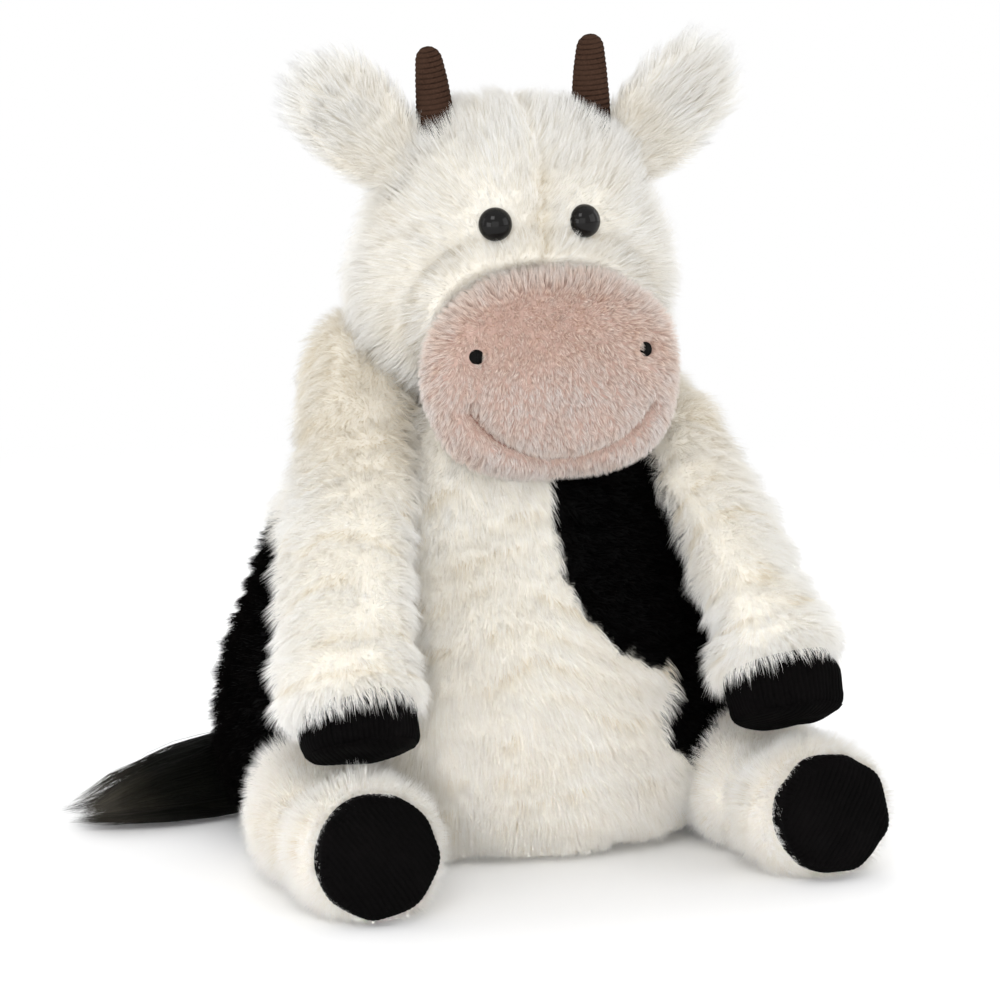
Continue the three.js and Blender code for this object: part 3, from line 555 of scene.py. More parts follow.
mottled_material("eye_plastic", 40.0, (0.003, 0.0028, 0.0028), (0.006, 0.005, 0.0045), 0.05, 0.2)
mottled_material("black_thread", 1400.0, (0.002, 0.002, 0.002), (0.007, 0.007, 0.007), 0.85, 0.1)
mottled_material("pink_thread", 1400.0, (0.3, 0.17, 0.14), (0.4, 0.25, 0.21), 0.85, 0.1)
mottled_material("washer_plastic", 90.0, (0.62, 0.61, 0.58), (0.7, 0.69, 0.66), 0.5)


def paint(piece, material):
    piece.data.materials.clear()
    piece.data.materials.append(MATERIALS[material])


def dress(piece, material, body, replaced):
    """Paints a piece, rides it on its body and hides the CAD parts that it replaces."""
    paint(piece, material)
    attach(piece, body)
    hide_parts(*replaced)


# Strands

class Surface:
    """The triangles of a skin, or of some of its faces, from which roots are drawn.

    A field is a value for each of the skin's points; accept says which values grow hair.
    """

    def __init__(self, piece, keep=None, field=None, accept=None):
        mesh = piece.data
        mesh.calc_loop_triangles()
        corners = read(mesh.loop_triangles, "vertices", kind=np.int64)
        if keep is not None:
            corners = corners[keep[read(mesh.loop_triangles, "polygon_index", 1, np.int64)[:, 0]]]
        self.places = points_of(piece)[corners]
        self.normals = normals_of(piece)[corners]
        self.values = None if field is None else field[corners]
        self.accept = accept
        spans = np.cross(self.places[:, 1] - self.places[:, 0], self.places[:, 2] - self.places[:, 0])
        self.areas = np.linalg.norm(spans, axis=1) / 2.0

    def roots(self, density, rng):
        """Evenly drawn places, so many a square centimetre, with the normals there."""
        count = int(self.areas.sum() * 1e4 * density)
        chosen = rng.choice(len(self.areas), count, p=self.areas / self.areas.sum())
        a, b = rng.uniform(size=(2, count, 1))
        flip = a + b > 1.0
        a, b = np.where(flip, 1.0 - a, a), np.where(flip, 1.0 - b, b)
        weights = np.stack([1.0 - a - b, a, b], axis=1)
        places = (self.places[chosen] * weights).sum(axis=1)
        normals = unit((self.normals[chosen] * weights).sum(axis=1))
        if self.values is not None:
            kept = self.accept((self.values[chosen] * weights).sum(axis=1))
            places, normals = places[kept], normals[kept]
        return places, normals


def nearest_clump(places, centres):
    tree = KDTree(len(centres))
    for number, centre in enumerate(centres):
        tree.insert(centre, number)
    tree.balance()
    return np.array([tree.find(place)[1] for place in places], np.int64)


def hair_mesh(name, lines, normals, widths, levels, rng):
    """Thin three-sided spikes that taper to a point, one for each hair line."""
    count, rings, _ = lines.shape
    segments = rings - 1
    steps = unit(np.diff(lines, axis=1))
    along = unit(np.concatenate([steps[:, :1], steps[:, :-1] + steps[:, 1:]], axis=1))
    across = unit(np.cross(normals[:, None, :], along) + 1e-6)
    outward = np.cross(along, across)
    radii = (widths[:, None] * np.linspace(1.0, 0.45, segments)[None, :] / 2.0)[..., None]
    turns = rng.uniform(-0.5, 0.5, size=(count, 1, 1)) + math.pi / 2.0
    size = 3 * segments + 1
    points = np.empty((count, size, 3))
    shades = np.empty((count, size, 3))
    for side in range(3):
        turn = turns + side * TURN / 3.0
        radial = np.cos(turn) * across + np.sin(turn) * outward
        points[:, side:-1:3] = lines[:, :-1] + radii * radial
        skin_share = 0.4 + 0.6 * np.clip(dots(radial, normals[:, None, :]), 0.0, 1.0)
        shades[:, side:-1:3] = unit(skin_share * normals[:, None, :] + SHADE_SHARE * radial)
    points[:, -1] = lines[:, -1]
    shades[:, -1] = unit(normals + SHADE_SHARE * steps[:, -1])

    quads, tips = [], []
    for side in range(3):
        nxt = (side + 1) % 3
        quads += [(3 * k + side, 3 * k + nxt, 3 * k + 3 + nxt, 3 * k + 3 + side) for k in range(segments - 1)]
        tips.append((size - 4 + side, size - 4 + nxt, size - 1))
    base = (np.arange(count) * size)[:, None, None]
    quad_loops = (base + np.array(quads, np.int64).reshape(1, -1, 4)).ravel()
    tip_loops = (base + np.array(tips, np.int64)[None]).ravel()
    loops = np.concatenate([quad_loops, tip_loops])
    starts = np.concatenate([np.arange(0, len(quad_loops), 4), len(quad_loops) + np.arange(3 * count) * 3])

    mesh = bpy.data.meshes.new(name)
    mesh.vertices.add(count * size)
    mesh.vertices.foreach_set("co", points.ravel())
    mesh.loops.add(len(loops))
    mesh.loops.foreach_set("vertex_index", loops)
    mesh.polygons.add(len(starts))
    mesh.polygons.foreach_set("loop_start", starts)
    set_smooth(mesh)

    # Where the hair's patch lies on the map, and how far in from its edges the corners sit
    column = np.clip((levels * LEVELS).astype(int), 0, LEVELS - 1)
    row = rng.integers(0, TINTS, count)
    edges = np.tile([0.12, 0.5, 0.88], segments).tolist() + [0.5]
    heights = (np.repeat(np.arange(segments), 3) / segments * 0.94 + 0.03).tolist() + [0.97]
    map_x = (column[:, None] + np.array(edges)[None, :]) / LEVELS
    map_y = (row[:, None] + np.array(heights)[None, :]) / TINTS
    places = np.stack([map_x, map_y], axis=-1).reshape(-1, 2)
    mesh.uv_layers.new(name="OFBake").data.foreach_set("uv", places[loops].ravel())
    mesh.update(calc_edges=True)
    mesh.normals_split_custom_set_from_vertices(shades.reshape(-1, 3))
    return mesh


def hair_pieces(name, body, material, lines, normals, widths, levels, rng):
    """The hairs as one piece, or as several neighbouring ones where there are many."""
    triangles = 6 * (lines.shape[1] - 2) + 3
    number = math.ceil(len(lines) * triangles / PIECE_TRIANGLES)
    middle = lines[:, 0].mean(axis=0)
    turns = np.arctan2(lines[:, 0, 1] - middle[1], lines[:, 0, 0] - middle[0])
    pieces = []
    for part, rows in enumerate(np.array_split(np.argsort(turns, kind="stable"), number), 1):
        label = name if number == 1 else f"{name}_{part}"
        mesh = hair_mesh(label, lines[rows], normals[rows], widths[rows], levels[rows], rng)
        piece = add_object(label, mesh)
        mesh.materials.append(MATERIALS[material])
        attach(piece, body)
        pieces.append(piece)
    return pieces


def grow(
    name, body, surface, comb, colour, density, length, lifts, seed, width=HAIR_WIDTH, keep=None, scale=None,
    raised=None, level=None, clump_hairs=30, sway=0.08, swirl=0.2, swirl_size=35 * MM, gather=0.2, bands=None,
    band_pitch=14 * MM, band_depth=1.0,
):
    """Grows a coat of tufted pile on a surface and rides it on a body.

    comb turns places and normals into directions, and keep, scale, raised, level and bands turn
    places into whether a hair grows, its length's factor, degrees of lift, creaminess, which is
    partly painted shade, and the distance that the rows of tufts are counted along. lifts are the
    angles off the skin at root and tip, in degrees.
    """
    rng = np.random.default_rng(seed)
    roots, normals = surface.roots(density, rng)
    if keep is not None:
        kept = keep(roots)
        roots, normals = roots[kept], normals[kept]
    count = len(roots)
    combs = comb(roots, normals)

    clump_count = max(4, int(count / clump_hairs))
    centre_rows = rng.choice(count, clump_count, replace=False)
    owner = nearest_clump(roots, roots[centre_rows])
    clump_rng = np.random.default_rng(seed + 1000)
    swayed = clump_rng.normal(size=(clump_count, 3)) * sway
    swirled = np.stack([noise(roots, swirl_size, seed + k) for k in (1, 2, 3)], axis=1)
    combs = combs + swayed[owner] + swirled * swirl + rng.normal(size=(count, 3)) * 0.07
    combs = laid(combs, normals)

    # Rows of tufts, each row falling over the next, with partings between whose hairs are painted in the deep
    # ramp's colour as painted shade
    parting = np.zeros(count)
    wave = np.zeros(count)
    if bands is not None:
        phase = TURN * bands(roots) / band_pitch
        phase = phase + 2.4 * noise(roots, 50 * MM, seed + 7) + 0.5 * noise(roots, 14 * MM, seed + 8)
        wave = np.sin(phase + 0.6 * np.sin(phase)) * band_depth
        broken = ease(noise(roots, 24 * MM, seed + 9), -0.5, 0.6)
        parting = ease(-wave, 0.45, 0.95) * broken
    clump_length = clump_rng.normal(1.0, 0.05, clump_count)
    lengths = length * clump_length[owner] * rng.uniform(0.8, 1.1, count)
    lengths = lengths * (1.0 + 0.1 * wave - 0.12 * parting)
    if scale is not None:
        lengths = lengths * scale(roots)
    clump_lift = clump_rng.normal(0.0, 3.0, clump_count)
    lift = clump_lift[owner] + rng.normal(0.0, 4.0, count) + 13.0 * wave
    if raised is not None:
        lift = lift + raised(roots)

    # Each hair leaves the skin at the first lift and bends over to the second, halfway up
    points = [roots]
    for start in lifts:
        angle = np.radians(np.clip(start + lift, 6.0, 88.0))[:, None]
        step = (combs * np.cos(angle) + normals * np.sin(angle)) * lengths[:, None] / 2.0
        points.append(points[-1] + step)
    lines = np.stack(points, axis=1)
    middles = lines[centre_rows][owner]
    gathered = (np.linspace(0.0, 1.0, lines.shape[1]) ** 1.3 * gather)[None, :, None]
    lines = lines * (1.0 - gathered) + middles * gathered
    lines[..., 2] = np.maximum(lines[..., 2], FLOOR_CLEARANCE)

    levels = 0.22 + 0.1 * noise(roots, 30 * MM, seed + 10) + 0.06 * noise(roots, 9 * MM, seed + 11)
    # Painted shade: hairs in the partings move towards the deep ramp's colour
    levels = levels + 0.75 * parting + rng.normal(0.0, 0.04, count)
    if level is not None:
        levels = levels + level(roots)
    widths = width * rng.uniform(0.75, 1.25, count)
    levels = np.clip(levels, 0.0, 1.0)
    return hair_pieces(name, body, f"{colour}_pile", lines, normals, widths, levels, rng)


# Skins made from the CAD solids

def star_skin(name, nodes, centre):
    """The outer surface of nodes as seen from a middle point, with openings bridged."""
    rows, columns = STAR_ROWS, STAR_COLUMNS
    tree = BVHTree.FromPolygons(*node_geometry(*nodes))
    middle = Vector(centre)
    reach = np.full((rows + 1, columns), np.nan)
    aims = np.empty((rows + 1, columns, 3))
    for j in range(rows + 1):
        tilt = math.pi * j / rows
        for k in range(columns):
            turn = TURN * k / columns
            aim = Vector((math.sin(tilt) * math.cos(turn), math.sin(tilt) * math.sin(turn), math.cos(tilt)))
            aims[j, k] = aim
            hit = tree.ray_cast(middle + aim * RAY_REACH, -aim, RAY_REACH)
            if hit[0] is not None:
                reach[j, k] = (hit[0] - middle).length
    missing = np.isnan(reach)
    reach[missing] = np.nanmean(reach)
    for _ in range(BRIDGE_ROUNDS):
        around = (np.roll(reach, 1, 1) + np.roll(reach, -1, 1)) / 2.0
        beside = (np.vstack([reach[:1], reach[:-1]]) + np.vstack([reach[1:], reach[-1:]])) / 2.0
        reach = np.where(missing, (around + beside) / 2.0, reach)
    reach[0], reach[-1] = reach[0].mean(), reach[-1].mean()
    points = np.array(centre) + aims * reach[..., None]
    flat = [points[0, 0], *points[1:-1].reshape(-1, 3), points[-1, 0]]
    end = 1 + (rows - 2) * columns
    faces = []
    for k in range(columns):
        nxt = (k + 1) % columns
        faces.append((0, 1 + k, 1 + nxt))
        faces.append((end + nxt, end + k, len(flat) - 1))
        for a in range(1, end, columns):
            faces.append((a + k, a + columns + k, a + columns + nxt, a + nxt))
    return add_piece(name, flat, faces)


def filled_skin(name, node):
    """A filling's surface moved out by the cover's depth."""
    piece = add_piece(name, *node_geometry(node))
    remesh(piece, SKIN_VOXEL)
    set_points(piece, points_of(piece) + normals_of(piece) * COVER_DEPTH)
    return piece


def distances_to(points, node):
    tree = BVHTree.FromPolygons(*node_geometry(node))
    return np.array([tree.find_nearest(Vector(p))[3] for p in points])


# Body

BODY_COVERS = ("body_cover", "chest_patch", "flank_patch_right", "side_patch_left")
# How far each dark patch's pile spreads past its seam
PATCH_MARGINS = {"chest_patch": 2.8 * MM, "flank_patch_right": 16.0 * MM, "side_patch_left": 8.5 * MM}
FLANK_LOW_MARGIN = 16.0 * MM
FLANK_SWELL = 3.0 * MM


def comb_down(roots, normals):
    """Down the skin, and outwards where it faces straight up or down."""
    outward = roots * np.array((1.0, 1.0, 0.0))
    return laid(DOWN + 0.25 * unit(outward), normals)


def make_body():
    skin = star_skin("body_skin", BODY_COVERS + ("body_filling",), BODY_CENTRE)
    remesh(skin, SKIN_VOXEL)
    smooth(skin, 6)
    stuff(skin, BODY_SLACK)
    subdivide(skin)
    points = points_of(skin)
    points[:, 2] = np.maximum(points[:, 2], FLOOR_CLEARANCE)
    set_points(skin, points)
    points = points_of(skin)
    high = points[:, 2]

    # How deep each place lies in each dark patch; the patches' edges wander a little
    cover = distances_to(points, "body_cover")
    dark = [margin + cover - distances_to(points, node) for node, margin in PATCH_MARGINS.items()]
    field = np.stack(dark, axis=1)
    field[:, 1] += FLANK_LOW_MARGIN * (1.0 - ease(high, 78 * MM, 108 * MM))
    field[:, 1] -= 14 * MM * ease(high, 108 * MM, 126 * MM)
    field[:, 2] += 4 * MM * (1.0 - ease(high, 50 * MM, 62 * MM))
    field += (0.7 * MM * noise(points, 9 * MM, 15) + 0.8 * MM * noise(points, 22 * MM, 16))[:, None]
    swell = FLANK_SWELL * ease(field[:, 1], 0.0, 12 * MM) * ease(high, 8 * MM, 35 * MM)
    swell = swell * (1.0 - ease(high, 60 * MM, 90 * MM))
    set_points(skin, points + swell[:, None] * normals_of(skin))
    add_values(skin.data, "patch", ease(field.max(axis=1), -1.0 * MM, 0.6 * MM))
    dress(skin, "body_backing", "body", ("body_cover", "body_filling", "bean_pouch"))

    upright = face_middles(skin)[:, 2] > 2.0 * FLOOR_CLEARANCE

    def near_floor(roots):
        return 0.45 + 0.55 * ease(roots[:, 2], 1 * MM, 14 * MM)

    def height(roots):
        return roots[:, 2]

    def level(roots):
        """Painted shade: creamier on the front of the belly, below the chest."""
        return 0.12 * ease(-roots[:, 1], 0.01, 0.04) * (1.0 - ease(roots[:, 2], 0.1, 0.14))

    def is_white(values):
        return values.max(axis=1) <= 0.0

    grow(
        "body_pile", "body", Surface(skin, upright, field, is_white), comb_down, scale=near_floor,
        bands=height, level=level, **COATS["body"],
    )
    for number, node in enumerate(PATCH_MARGINS):
        def is_dark(values, number=number):
            return (values[:, number] > 0.0) & (values.argmax(axis=1) == number)

        patch = grow(
            f"{node}_pile", "body", Surface(skin, upright, field, is_dark), comb_down, scale=near_floor,
            bands=height, seed=PATCH_SEED + number, **COATS["patch"],
        )
        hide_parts(node)


# Head

def muzzle_sizes():
    low, high = (np.array(corner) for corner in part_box("muzzle_cover"))
    half = (high - low) / 2.0
    half[1] = half[0] * MUZZLE_DEPTH_SHARE
    middle = (low + high) / 2.0
    middle[1] = low[1] + half[1]
    return middle, half


MUZZLE_MIDDLE, MUZZLE_HALF = muzzle_sizes()


def muzzle_section(points, power, share=1.0):
    """How far out points lie in the muzzle's squared outline from the front, raised to a power."""
    raised = np.abs((points - MUZZLE_MIDDLE) / (MUZZLE_HALF * share)) ** MUZZLE_SQUARENESS
    return (raised[:, 0] + raised[:, 2]) ** (power / MUZZLE_SQUARENESS)


def muzzle_swell(points, share=1.0):
    """How far points lie in the muzzle's form: below 1 inside, when it is grown by the share."""
    deep = np.abs((points - MUZZLE_MIDDLE) / (MUZZLE_HALF * share))[:, 1]
    return np.sqrt(muzzle_section(points, 2.0, share) + deep ** 2)


def forehead_seam(points):
    """1 on the wavy seam down the forehead, fading out a few millimetres from it."""
    drift = 1.2 * MM * noise(points, 16 * MM, 34)
    high = ease(points[:, 2], 0.208, 0.216) * (1.0 - ease(points[:, 2], 0.242, 0.258))
    return bell(points[:, 0] + drift, 1.8 * MM) * high * (points[:, 1] < -0.02)


def comb_head(roots, normals):
    """Away from the muzzle and the forehead's seam, and downwards on the cheeks and the back."""
    start = MUZZLE_MIDDLE + np.array((0.0, 0.0, 0.35 * MUZZLE_HALF[2]))
    away = unit(roots - start)
    back = ease(roots[:, 1], -0.045, -0.015)[:, None]
    low = 1.0 - ease(roots[:, 2], 0.19, 0.235)[:, None]
    parted = (np.sign(roots[:, 0]) * bell(roots[:, 0], 5.0 * MM))[:, None] * (1.0 - back)
    way = away * (1.0 - 0.8 * back) + DOWN * (0.9 * back + 0.5 * low) + parted * 0.6 * RIGHTWARD
    return laid(way, normals)


def eye_axes(side_name):
    """The middle of an eye's seat, the way it faces, its radius and its height."""
    points = node_points(f"eye_{side_name}")
    middle = points.mean(axis=0)
    facing = main_axis(points, -1, FORWARD)
    along = (points - middle) @ facing
    off = np.linalg.norm((points - middle) - np.outer(along, facing), axis=1)
    radius = off.max()
    seat = along[off > 0.98 * radius].min()
    return middle + facing * seat, facing, radius, along.max() - seat


def horn_stem(side_name):
    """Where a horn stands, seen from above."""
    horn = node_points(f"horn_{side_name}")
    return np.array((horn[:, 0].mean(), horn[horn[:, 2].argmin(), 1]))


def make_head():
    low, high = (np.array(corner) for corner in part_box("head_cover"))
    centre = tuple((low + high) / 2.0)
    skin = star_skin("head_skin", ("head_cover",), centre)
    remesh(skin, SKIN_VOXEL * 0.8)
    smooth(skin, 6)
    stuff(skin, LIMB_SLACK)
    subdivide(skin)
    eyes = [eye_axes(side_name) for side_name in SIDES]
    stems = [horn_stem(side_name) for side_name in SIDES]

    # How far the cloth is drawn in: at the forehead's seam, round the muzzle and at the eyes;
    # it swells at the cheeks and the horns
    points = points_of(skin)
    depth = 1.2 * MM * forehead_seam(points)
    swell = muzzle_swell(points)
    depth = depth - 2.6 * MM * bell(swell, 0.08, 1.13) + 1.3 * MM * bell(swell, 0.07, 1.36)
    for seat, _, radius, _ in eyes:
        depth = depth + 1.6 * MM * bell(gaps_to(points, seat), 1.5 * radius)
    cheek = ease(np.abs(points[:, 0]), 0.028, 0.048) * ease(-points[:, 2], -0.236, -0.205)
    depth = depth - CHEEK_SWELL * cheek
    for stem in stems:
        near = 1.0 - ease(gaps_to(points[:, :2], stem), 8 * MM, 22 * MM)
        depth = depth - HORN_MOUND * near * ease(points[:, 2], 0.24, 0.25)
    set_points(skin, points - normals_of(skin) * depth[:, None])
    dress(skin, "white_backing", "head", ("head_cover", "head_filling"))

    def eye_gap(roots):
        return np.min([gaps_to(roots, seat) - radius for seat, _, radius, _ in eyes], axis=0)

    def keep(roots):
        return (eye_gap(roots) > 0.4 * MM) & (muzzle_swell(roots, 0.93) > 1.0)

    def scale(roots):
        near_eye = 0.3 + 0.7 * ease(eye_gap(roots), 0.5 * MM, 9.0 * MM)
        near_muzzle = 0.85 + 0.15 * ease(muzzle_swell(roots), 1.0, 1.25)
        jowl = 1.0 + 0.5 * ease(-roots[:, 2], -0.205, -0.18) * ease(np.abs(roots[:, 0]), 0.02, 0.035)
        return near_eye * near_muzzle * jowl * (1.0 - 0.3 * forehead_seam(roots))

    def raised(roots):
        return 6.0 * (1.0 - ease(muzzle_swell(roots), 1.0, 1.2))

    def level(roots):
        """Painted shade: creamier at the seam and in the crease behind the ring of pile round the muzzle."""
        crease = muzzle_swell(roots) - 1.34 + 0.04 * noise(roots, 20 * MM, 33)
        return 0.5 * bell(crease, 0.04) + 0.55 * forehead_seam(roots) - 0.05

    def round_horns(roots):
        gaps = np.min([gaps_to(roots[:, :2], stem) for stem in stems], axis=0)
        return (gaps < 13 * MM) & (roots[:, 2] > 0.24)

    def from_muzzle(roots):
        return gaps_to(roots, MUZZLE_MIDDLE)

    grow("head_pile_crown", "head", Surface(skin), comb_head, keep=round_horns, **COATS["crown"])
    front = face_middles(skin)[:, 1] < centre[1]
    for place, chosen in (("front", front), ("back", ~front)):
        grow(
            f"head_pile_{place}", "head", Surface(skin, chosen), comb_head, keep=keep, scale=scale,
            raised=raised, level=level, bands=from_muzzle, seed=HEAD_SEEDS[place], **COATS["head"],
        )


def dome(name, place, facing, profile, ends, sides, stitch=0.0):
    """A closed round form: a radius and a height for each ring, from the back on, and both ends' heights."""
    across = unit(np.cross(UP, facing))
    above = np.cross(facing, across)
    turns = circle(sides)
    rings = []
    for out, rise in profile:
        ridges = stitch * np.abs(np.sin(2.5 * math.pi * out * np.cos(turns) / profile[0][0]))
        rings.append(ring(place, np.array(out), turns, across, above) + np.outer(rise + ridges, facing))
    first, last = (place + facing * height for height in ends)
    return add_rings(name, np.array(rings), first=first, last=last)


def make_eyes():
    """Glossy domes on their shanks."""
    for side_name in SIDES:
        seat, facing, radius, height = eye_axes(side_name)
        crown = 1.06 * height
        quarter = np.linspace(0.0, math.pi / 2.0, 14, endpoint=False)
        profile = [(0.3 * radius, -0.5 * height), (0.93 * radius, -0.1 * height)]
        profile += [(radius * math.cos(turn), crown * math.sin(turn)) for turn in quarter]
        eye = dome(f"eye_dome_{side_name}", seat, facing, profile, (-0.5 * height, crown), sides=40)
        dress(eye, "eye_plastic", "head", (f"eye_{side_name}",))


# Muzzle

def muzzle_rings():
    """A soft squared pad, in rings from its front to its back."""
    power = 2.0 / MUZZLE_SQUARENESS
    tilts = np.linspace(0.02, math.pi - 0.5, 90)[:, None]
    turns = circle(150)[None, :]
    c, s = np.cos(turns), np.sin(turns)
    wide = np.sin(tilts) ** power
    x = MUZZLE_HALF[0] * wide * np.sign(c) * np.abs(c) ** power
    y = -MUZZLE_HALF[1] * np.cos(tilts) * np.ones_like(turns)
    z = MUZZLE_HALF[2] * wide * np.sign(s) * np.abs(s) ** power * np.where(s > 0.0, MUZZLE_TOP, 1.0)
    x = x * (MUZZLE_WIDTH - MUZZLE_TAPER * ease(z / MUZZLE_HALF[2], -0.1, 1.0)) + MUZZLE_SHIFT
    return np.stack([x, y, z], axis=-1) + MUZZLE_MIDDLE


# The smile's arc as seen from the front
SMILE_RADIUS = SMILE_RADIUS_SHARE * MUZZLE_HALF[0]
SMILE_CENTRE = MUZZLE_MIDDLE[2] - SMILE_DROP_SHARE * MUZZLE_HALF[2] + SMILE_RADIUS

# More than any gap, for places that can't be near the smile or the nostrils
FAR = 100.0


def smile_gap(points):
    """Distance to the smile's arc as seen from the front, and the share along it beyond its ends."""
    x, z = points[:, 0] - MUZZLE_MIDDLE[0], points[:, 2] - SMILE_CENTRE
    angle = np.arctan2(x, -z)
    over = np.maximum(np.abs(angle) - SMILE_HALF_ANGLE, 0.0) * SMILE_RADIUS
    return np.hypot(np.hypot(x, z) - SMILE_RADIUS, over) + FAR * (points[:, 1] > MUZZLE_MIDDLE[1])


def nostril_place(side):
    return MUZZLE_MIDDLE + MUZZLE_HALF * np.array((side * NOSTRIL_SHARES[0], 0.0, NOSTRIL_SHARES[1]))


def nostril_gap(points):
    places = [nostril_place(side) for side in SIDES.values()]
    gaps = [np.hypot(points[:, 0] - place[0], points[:, 2] - place[2]) for place in places]
    return np.min(gaps, axis=0) + FAR * (points[:, 1] > MUZZLE_MIDDLE[1])


def make_muzzle():
    middle, half = MUZZLE_MIDDLE, MUZZLE_HALF
    skin = add_rings("muzzle_skin", muzzle_rings())
    skin.data.flip_normals()
    points = points_of(skin)
    depth = 4.6 * MM * bell(smile_gap(points), 2.9 * MM)
    depth = depth + 2.4 * MM * bell(nostril_gap(points), 4.5 * MM)
    below = ease(-(points[:, 2] - middle[2]), 0.25 * half[2], 0.8 * half[2])
    depth = depth - 1.6 * MM * below * (points[:, 1] < middle[1]) + 0.5 * MM * noise(points, 30 * MM, 5)
    set_points(skin, points - normals_of(skin) * depth[:, None])
    dress(skin, "pink_backing", "head", ("muzzle_cover",))

    def high(roots, start, end):
        """Eased from 0 to 1 between two heights, in half heights off the middle."""
        return ease(roots[:, 2] - middle[2], start * half[2], end * half[2])

    def rim(roots):
        """1 on the upper edge, where the pile stands out over the white cloth."""
        return ease(muzzle_section(roots, 1.0), 0.74, 0.9) * high(roots, 0.0, 0.5)

    def comb(roots, normals):
        away = unit(roots - middle)
        lean = DOWN + FORWARD * 0.2 + 0.35 * away * RIGHTWARD
        share = rim(roots)[:, None]
        over = away * np.array((1.0, 0.0, 1.0)) - 0.5 * FORWARD
        return laid(lean * (1.0 - share) + over * share, normals)

    def keep(roots):
        """No hair beside the nostrils, nor where it would lie over them."""
        moves = (0.0 * DOWN, 1.6 * MM * DOWN, 1.6 * MM * RIGHTWARD)
        return np.min([nostril_gap(roots + move) for move in moves], axis=0) > NOSTRIL_GAP

    def scale(roots):
        return (0.6 + 0.4 * ease(smile_gap(roots), 0.4 * MM, 3.4 * MM)) * (1.0 + 0.55 * rim(roots))

    def raised(roots):
        return 18.0 * high(roots, -0.1, 0.8)

    def level(roots):
        # The pink pile is deeper on the upper part and at random, painted shade in the smile's crease, and
        # paler on the rim
        crease = bell(smile_gap(roots), 2.4 * MM)
        upper = high(roots, -0.3, 0.5)
        return 0.05 + 0.5 * upper + 0.14 * noise(roots, 5 * MM, 42) + 0.4 * crease - 0.3 * rim(roots)

    grow(
        "muzzle_pile", "head", Surface(skin), comb, keep=keep, scale=scale, raised=raised, level=level,
        **COATS["muzzle"],
    )
    faces = [tuple(p.vertices) for p in skin.data.polygons]
    tree = BVHTree.FromPolygons([tuple(p) for p in points_of(skin)], faces)
    make_nostrils(tree)
    make_smile(tree)


def skin_ahead(tree, place):
    """Where the muzzle's front is behind a place seen from the front, and its normal there."""
    hit = tree.ray_cast(Vector(place + FORWARD * 0.1), -Vector(FORWARD), 0.2)
    return np.array(hit[0]), np.array(hit[1])


def make_nostrils(tree):
    """Small pads of satin stitches: ridges run across low domes."""
    radius, height = 2.7 * MM, 2.0 * MM
    quarter = np.linspace(math.pi / 2.0, 0.0, 12, endpoint=False)
    profile = [(radius * math.sin(turn), height * math.cos(turn)) for turn in quarter]
    for side_name, side in SIDES.items():
        place, facing = skin_ahead(tree, nostril_place(side))
        name = f"nostril_knot_{side_name}"
        knot = dome(name, place, facing, profile, (-height, height), sides=48, stitch=0.07 * radius)
        dress(knot, "black_thread", "head", (f"nostril_{side_name}",))


def make_smile(tree):
    """A line of drawn-in stitches at the bottom of the smile's groove."""
    steps, thickness = 150, 0.5 * MM
    line = []
    for angle in np.linspace(-SMILE_HALF_ANGLE, SMILE_HALF_ANGLE, steps):
        off = np.array((SMILE_RADIUS * math.sin(angle), 0.0, SMILE_CENTRE - SMILE_RADIUS * math.cos(angle)))
        place, normal = skin_ahead(tree, MUZZLE_MIDDLE * np.array((1.0, 1.0, 0.0)) + off)
        line.append(place + normal * 0.1 * MM)
    line = np.array(line)
    ways = unit(np.gradient(line, axis=0))
    across = unit(np.cross(ways, FORWARD))
    above = np.cross(ways, across)
    numbers = np.arange(steps)
    beads = 0.75 + 0.25 * np.abs(np.sin(math.pi * numbers / 6.0))
    outs = thickness * beads * np.sin(math.pi * (numbers + 0.5) / steps) ** 0.25
    turns = circle(8)
    rings = [ring(line[n], outs[n], turns, across[n], above[n]) for n in numbers]
    seam = add_rings("smile_seam", np.array(rings))
    dress(seam, "pink_thread", "head", ("smile_stitch",))


# Horns

def rib(distance, pitch):
    """A rounded rib with a narrow valley, from 0 to 1, at a distance across the ribs."""
    return np.abs(np.cos(math.pi * distance / pitch)) ** 0.55


